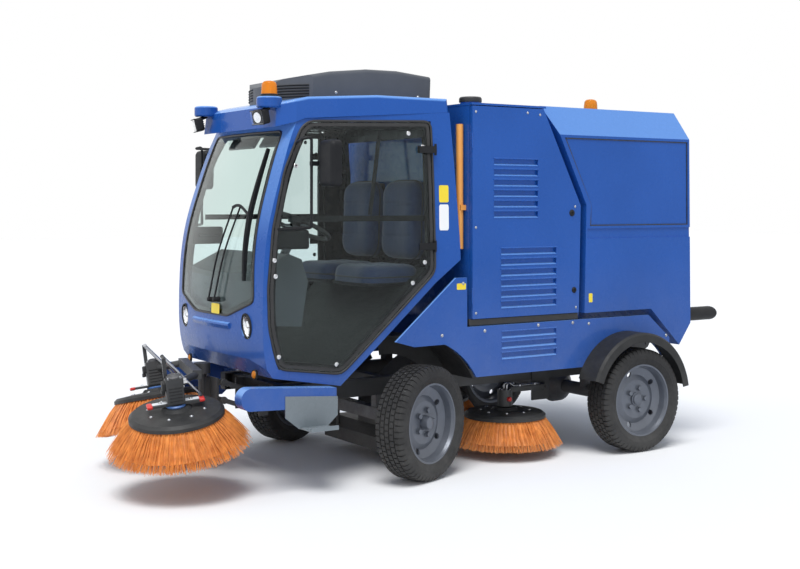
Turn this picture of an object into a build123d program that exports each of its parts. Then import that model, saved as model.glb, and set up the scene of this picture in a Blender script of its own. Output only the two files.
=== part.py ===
"""Compact street sweeper truck: a glass-doored cab, engine housing and tipping hopper on a
four-wheel chassis, with two front brushes on a slewing carrier, two side brushes amidships
and a suction mouth between the front wheels.

Millimetres. +X is the vehicle's left, -Y is forward, +Z is up. Stations are measured from
the front axle's centre at ground level; the last step moves everything so that the origin
lies on the ground below the middle of the overall length.
"""

from build123d import *
from math import cos, pi, radians, sin
import os

# ---------------------------------------------------------------- driving dimensions
WHEELBASE = 1614.0
HALF_TRACK_FRONT = 730.0
HALF_TRACK_REAR = 762.0
TYRE_RADIUS = 320.0
TYRE_WIDTH = 195.0
RIM_RADIUS = 220.0
STUD_CIRCLE = 140.0
KINGPIN_X = 620.0
STEER_ANGLE = 20.0            # wheels stand turned to the left

BODY_HALF = 700.0             # engine housing, skirts and hopper
BODY_TOP = 2122.0
CAB_ROOF_Z = 2030.0
RAIL_X, RAIL_W, RAIL_Z0, RAIL_Z1 = 330.0, 60.0, 430.0, 530.0
RAIL_FRONT = -680.0
TOW_Y = 1874.0

BRUSH_DISC_R = 250.0
FRONT_TIP_R, FRONT_DROP = 393.0, 196.0
MID_TIP_R, MID_DROP = 365.0, 190.0
MID_BRUSH = (400.0, 880.0, 253.0)

SLEW_Y = -960.0               # upright pin that the front carrier turns on
SLEW_ANGLE = -15.2            # carrier stands slewed to the right
HEAD_OFF_X, HEAD_OFF_Y = 426.5, -200.0
HEAD_Z, HEAD_ROLL = 430.0, 16.0
HEAD_TILT = (0.18, -0.116)    # brush normal leans outwards and forwards

LINK_LENGTH, LINK_RISE = 240.0, 20.0
LINK_Y, LINK_Z_LOW, LINK_Z_HIGH = -660.0, 360.0, 460.0

TIP_PIVOT = (2110.0, 600.0)    # (y, z) of the hopper's tip pins
ARM_PIVOT = (1190.0, 388.0)    # (y, z) of the side brushes' arm pins
RUN_GAP = 6.0                 # clearance round every door and lid

ORIGIN_Y = 428.0              # middle of the overall length

parts = {}


# ---------------------------------------------------------------- drawing helpers
def side_prism(points, half_width, x_middle=0.0):
    """A closed (y, z) outline carried across the vehicle."""
    outline = make_face(Polyline(*points, close=True))
    return Pos(x_middle, 0, 0) * extrude(Plane.YZ * outline, half_width, both=True)


def face_prism(face, half_width, x_middle=0.0):
    """A face drawn in (y, z) carried across the vehicle."""
    return Pos(x_middle, 0, 0) * extrude(Plane.YZ * face, half_width, both=True)


def block(x0, x1, y0, y1, z0, z1, round_edges=0.0):
    """A box between two corners, its upright edges rounded if asked."""
    body = Pos((x0 + x1) / 2, (y0 + y1) / 2, (z0 + z1) / 2) * Box(x1 - x0, y1 - y0, z1 - z0)
    return fillet(body.edges().filter_by(Axis.Z), round_edges) if round_edges else body


def rod(start, end, radius, bore=0.0):
    """A round bar or tube from one point to another."""
    run = Vector(*end) - Vector(*start)
    plane = Plane(origin=start, z_dir=run)
    section = Circle(radius) - Circle(bore) if bore else Circle(radius)
    return extrude(plane * section, run.length)


def both_sides(shape):
    """A piece and its mirror image across the centreline."""
    return shape + mirror(shape, Plane.YZ)


def side_by_side(pieces):
    """Pieces that touch but stay separate solids, as bolted or welded plates do."""
    return Compound([solid for piece in pieces for solid in piece.solids()])


def set_in(points, gap):
    """Corner points of a closed anticlockwise outline, each moved inside by a gap."""
    moved = []
    for before, here, after in zip(points[-1:] + points[:-1], points, points[1:] + points[:1]):
        into = Vector(here[0] - before[0], here[1] - before[1]).normalized()
        away = Vector(after[0] - here[0], after[1] - here[1]).normalized()
        normal = Vector(-into.Y - away.Y, into.X + away.X)
        scale = gap / (1 + into.dot(away))
        moved.append((here[0] + normal.X * scale, here[1] + normal.Y * scale))
    return moved


def turned_about_x(body_profile):
    """A (radius, offset) profile turned about the X axis, offset running outboard."""
    return revolve(Plane.XY * body_profile, Axis.X)


# ---------------------------------------------------------------- wheels
def tyre_solid():
    """Road tyre: flat tread, rounded shoulders, bulged walls, hollow over the rim."""
    half = TYRE_WIDTH / 2
    tread = half - 28
    bead_x, bead_r = half - 17, RIM_RADIUS + 2
    outer_right = ThreePointArc((tread, TYRE_RADIUS), (half, TYRE_RADIUS - 52), (bead_x, bead_r))
    outer_left = ThreePointArc((-bead_x, bead_r), (-half, TYRE_RADIUS - 52), (-tread, TYRE_RADIUS))
    inner = ThreePointArc((bead_x - 10, bead_r), (0, TYRE_RADIUS - 14), (-bead_x + 10, bead_r))
    outline = [
        Line((-tread, TYRE_RADIUS), (tread, TYRE_RADIUS)),
        outer_right,
        Line((bead_x, bead_r), (bead_x - 10, bead_r)),
        inner,
        Line((-bead_x + 10, bead_r), (-bead_x, bead_r)),
        outer_left,
    ]
    return turned_about_x(make_face(outline))


def rim_solid(hub_out):
    """Pressed steel wheel: flanged barrel, dished disc and five stud holes."""
    half = TYRE_WIDTH / 2 - 17
    barrel = Polyline(
        (half, 221.5), (half, 212), (half - 18, 204), (26, 197), (8, 150), (22, 118),
        (22, 34), (12, 34), (12, 112), (-4, 150), (14, 193), (-half + 12, 196),
        (-half, 206), (-half, 221.5), (-half + 6, 221.5), (-half + 16, 204), (0, 202),
        (half - 16, 212), (half - 8, 221.5), close=True,
    )
    disc = turned_about_x(make_face(barrel))
    for stud in range(5):
        angle = 2 * pi * stud / 5
        hole_y, hole_z = STUD_CIRCLE / 2 * cos(angle), STUD_CIRCLE / 2 * sin(angle)
        disc -= rod((0, hole_y, hole_z), (40, hole_y, hole_z), 8)
    for hole in range(5):
        angle = 2 * pi * (hole + 0.5) / 5
        hole_y, hole_z = 163 * cos(angle), 163 * sin(angle)
        disc -= rod((-20, hole_y, hole_z), (40, hole_y, hole_z), 17)
    hub = rod((-30, 0, 0), (hub_out, 0, 0), 33.9)
    cap = rod((hub_out, 0, 0), (hub_out + 14, 0, 0), 27)
    hub_flange = rod((-8, 0, 0), (11.8, 0, 0), 92)
    hub_flange -= rod((-10, 0, 0), (20, 0, 0), 33.9)
    studs = [
        rod((-8, 70 * cos(a), 70 * sin(a)), (38, 70 * cos(a), 70 * sin(a)), 7.9)
        for a in [2 * pi * k / 5 for k in range(5)]
    ]
    return disc + hub + cap + hub_flange + studs


def build_wheels():
    """Two steered front wheels on knuckles and two rear wheels."""
    for side, sign in (("left", 1), ("right", -1)):
        outward = Rotation(0, 0, 0) if sign > 0 else Rotation(0, 0, 180)
        steer = Pos(sign * KINGPIN_X, 0, TYRE_RADIUS) * Rotation(0, 0, STEER_ANGLE)
        front = steer * Pos(sign * (HALF_TRACK_FRONT - KINGPIN_X), 0, 0) * outward
        rear = Pos(sign * HALF_TRACK_REAR, WHEELBASE, TYRE_RADIUS) * outward
        parts[f"tyre_front_{side}"] = front * tyre_solid()
        parts[f"rim_front_{side}"] = front * rim_solid(52)
        parts[f"tyre_rear_{side}"] = rear * tyre_solid()
        parts[f"rim_rear_{side}"] = rear * rim_solid(30)
        parts[f"knuckle_{side}"] = steer * knuckle_solid(sign)


def knuckle_solid(sign):
    """Steering knuckle: kingpin barrel, spindle flange and steering arm."""
    barrel = rod((0, 0, -62), (0, 0, 62), 34, 17)
    spindle = rod((sign * 30, 0, 0), (sign * 72, 0, 0), 44)
    arm = side_prism([(20, -36), (150, -26), (150, -12), (20, -12)], 16)
    arm = arm - rod((0, 0, -70), (0, 0, 70), 17)
    return barrel + (spindle - rod((0, 0, -70), (0, 0, 70), 17)) + arm


# ---------------------------------------------------------------- running gear
def build_running_gear():
    """Chassis rails with cross members, axles, front bumper beam and steps."""
    rail = block(RAIL_X - RAIL_W / 2, RAIL_X + RAIL_W / 2, RAIL_FRONT, 1850, RAIL_Z0, RAIL_Z1)
    rail -= block(RAIL_X - RAIL_W / 2 - 1, RAIL_X + RAIL_W / 2 - 8, RAIL_FRONT + 10, 1840,
                  RAIL_Z0 + 8, RAIL_Z1 - 8)
    parts["chassis_frame"] = both_sides(rail)

    web = RAIL_X + RAIL_W / 2 - 8
    members = [
        block(-web, web, station - 25, station + 25, RAIL_Z0 + 8, RAIL_Z1 - 8)
        for station in (-600, 60, 640, 1250)
    ]
    rear_member = block(-web, web, 1790, 1840, RAIL_Z0 + 8, RAIL_Z1 - 8)
    for x in (-100, 100):
        for z in (460, 500):
            rear_member -= rod((x, 1780, z), (x, 1860, z), 7)
    members.append(rear_member)
    for station in (480, 1150):
        for x in (-RAIL_X, RAIL_X):
            members.append(block(x - 28, x + 28, station - 28, station + 28, RAIL_Z1, 850))
    pivot_y, pivot_z = TIP_PIVOT
    tip_arm = side_prism([(1780, RAIL_Z0), (1850, RAIL_Z0), (pivot_y + 10, pivot_z - 26),
                          (pivot_y + 26, pivot_z), (pivot_y, pivot_z + 26), (1780, RAIL_Z1)],
                         7, RAIL_X + 37)
    tip_arm += rod((RAIL_X - 10, *TIP_PIVOT), (RAIL_X + 48, *TIP_PIVOT), 14)
    arm_plate = block(RAIL_X + 30, RAIL_X + 42, 1120, 1260, 300, RAIL_Z1)
    arm_pin = rod((RAIL_X + 42, *ARM_PIVOT), (RAIL_X + 98, *ARM_PIVOT), 10)
    for piece in (tip_arm, arm_plate, arm_pin):
        members += [piece, mirror(piece, Plane.YZ)]
    for x in (-150, 150):
        members.append(block(x - 6, x + 6, LINK_Y - 22, -625, LINK_Z_LOW - 20, RAIL_Z1 - 10))
    for z in (LINK_Z_LOW, LINK_Z_HIGH):
        members.append(rod((-144, LINK_Y, z), (144, LINK_Y, z), 10))
    parts["cross_members"] = side_by_side(members)

    tongue = block(-45, 45, 1840, 1915, 446, 466)
    tongue = fillet(tongue.edges().filter_by(Axis.Z).group_by(Axis.Y)[-1], 30)
    tongue -= rod((0, TOW_Y, 440), (0, TOW_Y, 470), 20)
    parts["tow_lug"] = tongue

    axle = block(-560, 560, -35, 35, TYRE_RADIUS - 35, TYRE_RADIUS + 35)
    yoke = block(550, KINGPIN_X + 30, -24, 24, 236, 404)
    yoke -= block(568, KINGPIN_X + 60, -60, 60, 256, 384)
    pin = rod((KINGPIN_X, 0, 232), (KINGPIN_X, 0, 408), 16.5)
    perch = block(RAIL_X - 26, RAIL_X + 26, -30, 30, TYRE_RADIUS + 30, RAIL_Z0)
    axle += both_sides(yoke + pin + perch)
    parts["front_axle"] = axle

    tube = rod((-HALF_TRACK_REAR + 60, WHEELBASE, TYRE_RADIUS),
               (HALF_TRACK_REAR - 60, WHEELBASE, TYRE_RADIUS), 42)
    bulge = Polyline((-120, 0), (-120, 48), (-60, 104), (0, 118), (60, 104), (120, 48), (120, 0),
                     close=True)
    gearbox = Pos(0, WHEELBASE, TYRE_RADIUS) * turned_about_x(make_face(bulge))
    seats = both_sides(block(RAIL_X - 26, RAIL_X + 26, WHEELBASE - 40, WHEELBASE + 40,
                             TYRE_RADIUS + 20, RAIL_Z0))
    parts["rear_axle"] = tube + gearbox + seats

    side = make_face([
        ThreePointArc((-970, 462), (-1036, 522), (-970, 580)),
        Polyline((-970, 580), (-470, 545), (-470, 440), (-970, 462)),
    ])
    side = face_prism(side, 40, 620)
    tie = block(RAIL_X + 30, 580, -560, -500, 455, 515)
    back = side_prism([(-783, 524), (-783, 410), (-700, 345), (-530, 345), (-466, 400),
                       (-466, 500)], 3, 663)
    tread = block(666, 784, -694, -531, 345, 351)
    lip = block(784, 790, -694, -531, 345, 368)
    beams = []
    for piece in (side, tie, back, tread, lip):
        beams += [piece, mirror(piece, Plane.YZ)]
    parts["side_beams"] = side_by_side(beams)


# ---------------------------------------------------------------- cab
# Level, door-post corner (x, y), rear corner (x, y): the cab's plan at each height.
CAB_LEVELS = [
    # z,   post x, post y, rear x, rear y
    (520, 550, -800, 655, 357),
    (700, 556, -846, 660, 357),
    (870, 560, -863, 662, 357),
    (1030, 560, -862, 662, 357),
    (1290, 555, -846, 662, 352),
    (1440, 550, -819, 660, 341),
    (1630, 540, -765, 656, 326),
    (1815, 525, -704, 650, 312),
    (1960, 510, -645, 643, 301),
    (2080, 498, -590, 637, 291),
]
POST_FACE = 84.0              # width of the post beside the windscreen
SCREEN_BULGE = 38.0

CAB_SIDE = [(-1000, 716), (-868, 700), (-800, 606), (-402, 540), (188, 1085), (357, 1216),
            (380, 2068), (-585, 2003), (-651, 1978), (-1000, 1890)]
ROOF_SIDE = [(-760, 1951), (-651, 1979), (-585, 2004), (310, 2064), (310, 2142), (-150, 2148),
             (-560, 2124), (-700, 2092), (-760, 2052)]


SCREEN = [(-474, 1010), (-215, 922), (215, 922), (474, 1010), (452, 1400), (416, 1935),
          (-416, 1935), (-452, 1400)]


def cab_form(inset):
    """The cab's curved outer form, or the same form set in by a wall thickness."""
    levels = []
    for z, post_x, post_y, rear_x, rear_y in CAB_LEVELS:
        px, py = post_x - inset, post_y + inset
        rx, ry = rear_x - inset, rear_y - inset
        gx, gy = px - POST_FACE, py - 12
        outline = [
            ThreePointArc((-gx, gy), (0, gy - SCREEN_BULGE), (gx, gy)),
            Line((gx, gy), (px, py)), Line((px, py), (rx, ry)), Line((rx, ry), (-rx, ry)),
            Line((-rx, ry), (-px, py)), Line((-px, py), (-gx, gy)),
        ]
        levels.append(Plane.XY.offset(z) * make_face(outline))
    return loft(levels)


DOOR_FRONT = [(-612, 1950), (-722, 1718), (-802, 1400), (-834, 1081), (-828, 870), (-770, 652)]
DOOR_REST = [(-398, 604), (186, 1148), (172, 2008), (-560, 1990)]


def door_outline(gap=0.0):
    """Door opening in (y, z): swept front post, flat top, upright rear, cut lower corner."""
    corners = set_in(DOOR_FRONT + DOOR_REST, gap)
    front = corners[:len(DOOR_FRONT)]
    rest = corners[len(DOOR_FRONT) - 1:] + corners[:1]
    return make_face([Spline(*front), Polyline(*rest)])


def build_cab():
    """Cab shell with its openings, glazing, doors, floor, roof and fittings."""
    outer, glass_back, wall_back = cab_form(0), cab_form(6), cab_form(36)
    door_back = cab_form(30)
    silhouette = side_prism(CAB_SIDE, 800)
    doorway = door_outline()
    screen_cut = extrude(Plane.XZ * make_face(Polyline(*SCREEN, close=True)), 1100)
    rear_cut = block(-520, 520, 200, 400, 1330, 1930)
    cavity = wall_back - block(-800, 800, -1100, 600, 0, 560) - side_prism(
        [(-1100, 1900), (-560, 1962), (600, 2040), (600, 2200), (-1100, 2200)], 800)
    floor_form = side_prism([(-860, 716), (-800, 640), (-402, 574), (150, 1090), (345, 1216),
                             (345, 2100), (-1100, 2100), (-1100, 716)], 800)
    cavity = cavity & floor_form
    shell = (outer & silhouette) - cavity
    shell -= face_prism(doorway, 900)
    shell -= screen_cut
    shell -= rear_cut
    lamp_axis = Pos(407, -872, 878) * Rotation(96, 0, 8)
    shell -= both_sides(lamp_axis * Pos(0, 0, -14) * extrude(Ellipse(52, 70), 110))
    parts["cab_shell"] = shell

    pane_edge = Polyline(*set_in(SCREEN, 1.5), close=True)
    pane_cut = extrude(Plane.XZ * make_face(pane_edge), 1100)
    screen_pane = (outer - glass_back) & pane_cut
    rear_pane = block(-518, 518, 318, 324, 1332, 1928)
    parts["cab_glazing"] = side_by_side([screen_pane, rear_pane])

    pane_face = door_outline(RUN_GAP)
    frame_face = door_outline(RUN_GAP + 4) - door_outline(RUN_GAP + 40)
    pane = (outer - glass_back) & face_prism(pane_face, 400, 500)
    frame = (glass_back - door_back) & face_prism(frame_face, 400, 500)
    for side, sign in (("left", 1), ("right", -1)):
        parts[f"door_glass_{side}"] = pane if sign > 0 else mirror(pane, Plane.YZ)
        parts[f"door_frame_{side}"] = frame if sign > 0 else mirror(frame, Plane.YZ)
        arm = Polyline((515, -638, 1868), (690, -700, 1880), (705, -650, 1890),
                       (705, -650, 1410), (545, -775, 1400))
        tube = sweep(Plane(arm @ 0, z_dir=arm % 0) * Circle(8),
                     path=FilletPolyline(*[v.center() for v in arm.vertices()], radius=14))
        mirror_set = tube + mirror_head() + block(698, 724, -658, -600, 1738, 1762)
        mirror_set -= outer
        parts[f"mirror_{side}"] = mirror_set if sign > 0 else mirror(mirror_set, Plane.YZ)
    for side, sign in (("left", 1), ("right", -1)):
        hinges = door_hinge(1262) + door_hinge(1812) - outer
        parts[f"door_frame_{side}"] += hinges if sign > 0 else mirror(hinges, Plane.YZ)

    roof_low = [(-470, -742), (470, -742), (522, -640), (647, 305), (-647, 305), (-522, -640)]
    roof_top = [(-450, -722), (450, -722), (502, -630), (627, 290), (-627, 290), (-502, -630)]
    roof = loft([Plane.XY.offset(1940) * make_face(Polyline(*roof_low, close=True)),
                 Plane.XY.offset(2160) * make_face(Polyline(*roof_top, close=True))], ruled=True)
    roof &= side_prism(ROOF_SIDE, 700)
    brow_edges = [e for e in roof.edges() if e.center().Z > 2085 and abs(e.center().X) > 440]
    roof = fillet(brow_edges, 20)
    pod = rod((414, -752, 2058), (414, -752, 2120), 70)
    pod = fillet(pod.edges(), 12)
    parts["roof_panel"] = roof + both_sides(pod)
    parts["front_beacon"] = (rod((414, -752, 2120), (414, -752, 2132), 52)
                             + rod((414, -752, 2132), (414, -752, 2208), 46))

    hood_side = [(-620, 2110), (-560, 2116), (-150, 2130), (345, 2130), (352, 2296),
                 (120, 2318), (-90, 2316), (-330, 2290), (-560, 2245), (-620, 2205)]
    hood_plan = make_face([
        Line((-360, 360), (-360, -450)), ThreePointArc((-360, -450), (0, -612), (360, -450)),
        Line((360, -450), (360, 360)), Line((360, 360), (-360, 360)),
    ])
    hood = side_prism(hood_side, 500) & (Pos(0, 0, 2100) * extrude(hood_plan, 300))
    crown = [e for e in hood.edges() if e.center().Z > 2240 and abs(abs(e.center().X) - 360) < 1]
    parts["aircon_unit"] = fillet(crown, 24) - roof

    lens = lamp_axis * Pos(0, 0, -14) * extrude(Ellipse(50, 68), 23)
    lens = fillet(lens.faces().sort_by(Axis.Y)[0].edges(), 7)
    work = block(-50, 50, -30, 30, -40, 40)
    work = fillet(work.edges().filter_by(Axis.Y), 12)
    work = Pos(414, -806, 2008) * Rotation(14, 0, 14) * work
    stalk = rod((414, -790, 2010), (414, -740, 2062), 12)
    parts["front_lamps"] = both_sides(lens) + both_sides(work + (stalk - roof - pod))

    dash = side_prism([(-1000, 890), (-560, 860), (-520, 1110), (-560, 1230), (-640, 1262),
                       (-790, 1190), (-1000, 1090)], 430) & wall_back
    wheel = Pos(225, -470, 1412) * Rotation(-25, 0, 0) * Torus(185, 13)
    column = rod((225, -590, 1200), (225, -472, 1408), 24)
    spokes = Pos(225, -470, 1412) * Rotation(-25, 0, 0) * Box(360, 26, 10)
    parts["dashboard"] = dash + wheel + column + spokes
    cushion = block(15, 445, -150, 260, 1060, 1190, 60)
    cushion = cushion - side_prism([(-200, 1000), (-200, 900), (300, 900), (300, 1225),
                                    (140, 1121), (0, 990)], 800)
    back = side_prism([(175, 1200), (285, 1200), (305, 1690), (180, 1690)], 190, 235)
    back &= Pos(235, 0, 1430) * extrude(Plane.XZ * RectangleRounded(370, 520, 120), -400)
    parts["seats"] = both_sides(cushion + back)


def mirror_head():
    """Mirror housing: a rounded shell facing forwards, flat on the glass side."""
    head = block(722, 880, -626, -566, 1628, 1873)
    head = fillet(head.edges().filter_by(Axis.Y), 34)
    front = head.faces().sort_by(Axis.Y)[0]
    return fillet(front.edges(), 26)


def door_hinge(z):
    """Hinge knuckle on the door's swing axis with a strap running on to the glass."""
    strap = make_face(Polyline((600, 84), (646, 84), (667, 180), (665, 186), (653, 180),
                               (600, 150), close=True))
    return rod((660, 180, z), (660, 180, z + 66), 7) + Pos(0, 0, z + 13) * extrude(strap, 40)


# ---------------------------------------------------------------- engine housing and skirts
HOUSING = [(410, 850), (410, BODY_TOP), (958, BODY_TOP), (1258, 1529), (1240, 850)]
DOOR_PANEL = [(412, 872), (412, 2104), (944, 2104), (1236, 1527), (1219, 872)]
LOUVRES = [
    # y0, y1,  top z, bottom z, slats
    (568, 898, 1801, 1431, 6),
    (620, 1040, 1275, 901, 6),
]
SKIRT_LOUVRES = (625, 1039, 787, 602, 3)


def louvre_slots(y0, y1, top, bottom, count, x_face, depth):
    """Downward-facing louvre mouths, evenly pitched and slanted outwards."""
    pitch = (top - bottom) / count
    mouth = pitch * 0.62
    slots = []
    for row in range(count):
        z = top - row * pitch
        cut = Polyline((x_face + 1, z), (x_face - depth, z + 6), (x_face - depth, z - mouth + 10),
                       (x_face + 1, z - mouth), close=True)
        slots.append(Pos(0, y0, 0) * extrude(Plane.XZ * make_face(cut), -(y1 - y0)))
    return slots


def build_housing():
    """Engine housing, louvred side doors, skirts, arches and the engine itself."""
    housing = side_prism(HOUSING, BODY_HALF - 28)
    inner = [(425, 865), (425, BODY_TOP - 16), (948, BODY_TOP - 16), (1240, 1525), (1225, 865)]
    housing -= side_prism(inner, BODY_HALF - 48)
    opening = [(445, 895), (445, 2080), (930, 2080), (1208, 1522), (1195, 895)]
    housing -= side_prism(opening, BODY_HALF + 10)
    lid = side_prism([(408, BODY_TOP - 12), (408, BODY_TOP), (958, BODY_TOP),
                      (964, BODY_TOP - 12)], BODY_HALF)
    cap = rod((560, 500, BODY_TOP), (560, 500, BODY_TOP + 42), 62)
    parts["engine_housing"] = housing + lid + cap

    panel = side_prism(DOOR_PANEL, 11, BODY_HALF - 11)
    for row in LOUVRES:
        panel -= louvre_slots(*row, BODY_HALF, 16)
    for z in (960, 1860):
        panel += rod((BODY_HALF, 412, z), (BODY_HALF, 412, z + 90), 5)
    parts["engine_door_left"] = panel
    parts["engine_door_right"] = mirror(panel, Plane.YZ)

    parts["engine_block"] = block(-260, 260, 560, 1120, 880, 1430, 20) + both_sides(
        block(180, 240, 700, 980, 865, 880))

    arch = ThreePointArc((217, 738), (360, 640), (439, 536))
    edge = Polyline((439, 536), (1290, 536), (1290, 560), (1990, 560), (1990, 676), (1806, 828),
                    (374, 828), (372, 1113), (296, 1113), (-114, 771), (9, 736), (217, 738))
    skirt = face_prism(make_face([arch, edge]), 8, BODY_HALF - 8)
    skirt -= rod((BODY_HALF - 40, 1600, 330), (BODY_HALF + 40, 1600, 330), 398)
    skirt -= louvre_slots(*SKIRT_LOUVRES, BODY_HALF, 12)
    parts["skirt_left"] = skirt
    parts["skirt_right"] = mirror(skirt, Plane.YZ)

    section = make_face(Polyline((700, 400), (700, 408), (852, 408), (866, 396), (866, 350),
                                 (860, 350), (859, 394), (850, 400), close=True))
    guard = Pos(0, 1600, 330) * Rotation(8, 0, 0) * revolve(section, Axis.X, 152)
    liner = make_face(Polyline((420, 350), (424, 350), (424, 472), (684, 472), (684, 478),
                               (420, 478), close=True))
    liner = Pos(0, 0, TYRE_RADIUS) * Rotation(26, 0, 0) * revolve(liner, Axis.X, 72)
    parts["fender_left"] = side_by_side([guard, liner])
    parts["fender_right"] = side_by_side([mirror(guard, Plane.YZ), mirror(liner, Plane.YZ)])


# ---------------------------------------------------------------- hopper
HOPPER = [(985, 2132), (1283, 1530), (1266, 866), (1828, 866), (2079, 622), (2183, 760),
          (2176, 1957), (2118, 2132)]


def build_hopper():
    """Tipping hopper with its rear door, and the outlet pipe through its tail."""
    body = side_prism(HOPPER, BODY_HALF)
    bevel = make_face(Polyline((BODY_HALF + 1, 1957), (BODY_HALF + 1, 2140), (618, 2140),
                               (618, 2132), (BODY_HALF, 1957), close=True))
    bevel = Pos(0, 900, 0) * extrude(Plane.XZ * bevel, -1400)
    body -= both_sides(bevel)
    hollow = [(1035, 2102), (1315, 1535), (1298, 896), (1840, 896), (2086, 660), (2150, 748),
              (2146, 1950), (2095, 2102)]
    cavity = side_prism(hollow, BODY_HALF - 30)
    bevel_in = make_face(Polyline((BODY_HALF, 1930), (BODY_HALF, 2140), (560, 2140),
                                  (586, 2102), (BODY_HALF - 30, 1945), close=True))
    cavity -= both_sides(Pos(0, 900, 0) * extrude(Plane.XZ * bevel_in, -1400))
    body -= cavity
    body -= block(-640, 640, 2100, 2300, 900, 1930)
    body -= block(-100, 100, 1326, 1454, 850, 910)
    recess = [(1110, 1940), (2160, 1940), (2160, 1400), (1312, 1400), (1322, 1530)]
    body -= both_sides(side_prism(recess, 6, BODY_HALF))
    belt = [(1290, 1384), (2200, 1384), (2200, 1322), (1290, 1322)]
    body -= both_sides(side_prism(belt, 8, BODY_HALF))
    pivot_y, pivot_z = TIP_PIVOT
    lug = side_prism([(pivot_y - 24, pivot_z - 18), (pivot_y, pivot_z - 26), (pivot_y + 24, pivot_z - 10),
                      (2140, 702), (2040, 660)], 9, RAIL_X + 16)
    lug -= rod((0, *TIP_PIVOT), (500, *TIP_PIVOT), 14.5)
    body += both_sides(lug - side_prism(hollow, BODY_HALF - 30))
    sides = both_sides(block(BODY_HALF - 30, BODY_HALF + 1, 900, 2300, 560, 2200))
    parts["hopper_body"] = body - sides
    parts["hopper_sides"] = body & sides

    door = block(-634, 634, 2146, 2181, 906, 1924)
    door -= block(-600, 600, 2140, 2160, 940, 1890)
    door += both_sides(rod((400, 2184, 1927), (500, 2184, 1927), 7.4))
    parts["hopper_door"] = door
    parts["rear_beacon"] = rod((430, 1560, 2132), (430, 1560, 2212), 48)
    outlet = rod((610, 2183, 805), (610, 2520, 805), 45, 40)
    outlet -= Pos(610, 2520, 805) * Rotation(0, 0, 40) * Box(300, 120, 300)
    parts["outlet_pipe"] = outlet


# ---------------------------------------------------------------- suction
def beside(route, gap):
    """The mitred line that runs a gap to the left of a (y, z) route."""
    runs = [(Vector(*b) - Vector(*a)).normalized() for a, b in zip(route, route[1:])]
    line = []
    for point, into, away in zip(route, runs[:1] + runs, runs + runs[-1:]):
        scale = gap / (1 + into.dot(away))
        line.append((point[0] - (into.Y + away.Y) * scale, point[1] + (into.X + away.X) * scale))
    return line


def duct_plates(route, bore_half, depth_half, bore_width, width):
    """Sheet-metal duct of oblong section: four flat plates to every run of its route."""
    lines = [beside(route, gap) for gap in (depth_half, bore_half, -bore_half, -depth_half)]
    wall = (width - bore_width) / 2
    plates = []
    for run in range(len(route) - 1):
        top, roof, floor, bottom = [(line[run], line[run + 1]) for line in lines]
        plates.append(side_prism([*top, roof[1], roof[0]], width))
        plates.append(side_prism([*floor, bottom[1], bottom[0]], width))
        cheek = side_prism([*roof, floor[1], floor[0]], wall, bore_width + wall)
        plates += [cheek, mirror(cheek, Plane.YZ)]
    return plates


def build_suction():
    """Suction mouth behind the front axle, its duct to the hopper and the wander-hose tube."""
    mouth = side_prism([(60, 72), (330, 72), (330, 150), (270, 200), (130, 200), (60, 150)], 400)
    mouth -= side_prism([(68, 60), (322, 60), (322, 147), (266, 192), (134, 192), (68, 147)], 392)
    mouth -= block(-100, 100, 136, 264, 180, 210)
    mouth += both_sides(rod((260, 76, 150), (260, 76, RAIL_Z0 + 8), 11)
                        - side_prism([(60, 72), (60, 150), (130, 200), (200, 72)], 400))
    parts["suction_mouth"] = mouth
    parts["suction_duct"] = side_by_side(duct_plates(
        [(200, 200), (200, 340), (610, 636), (1390, 712), (1390, 858)], 64, 70, 100, 106))
    parts["hose_tube"] = (rod((612, 384, 1275), (612, 384, 2000), 21)
                          + block(580, 640, 374, 410, 1500, 1530))


# ---------------------------------------------------------------- brushes
def brush_disc():
    """Brush plate: a domed disc with a raised hub and a drooping rim."""
    profile = make_face(Polyline((0, 34), (70, 34), (84, 18), (140, 16), (232, 8), (BRUSH_DISC_R, -6),
                                 (BRUSH_DISC_R, -24), (0, -24), close=True))
    return revolve(Plane.XZ * profile, Axis.Z)


def brush_bristles(tip_radius, drop):
    """Bristle ring: tufts leaning outwards from under the plate's rim."""
    profile = make_face(Polyline((150, -25), (BRUSH_DISC_R - 6, -25), (tip_radius, -drop),
                                 (tip_radius - 80, -drop - 12), close=True))
    return revolve(Plane.XZ * profile, Axis.Z)


def head_frame(sign):
    """Placement of one front brush: slewed about the carrier pin, rolled and tilted."""
    slew = radians(SLEW_ANGLE)
    x, y = sign * HEAD_OFF_X, HEAD_OFF_Y
    origin = (cos(slew) * x - sin(slew) * y, SLEW_Y + sin(slew) * x + cos(slew) * y,
              HEAD_Z + sign * HEAD_ROLL)
    tilt_x, tilt_y = sign * HEAD_TILT[0], HEAD_TILT[1]
    normal = (cos(slew) * tilt_x - sin(slew) * tilt_y, sin(slew) * tilt_x + cos(slew) * tilt_y, 1)
    return Plane(origin=origin, x_dir=(cos(slew), sin(slew), 0), z_dir=normal)


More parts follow.
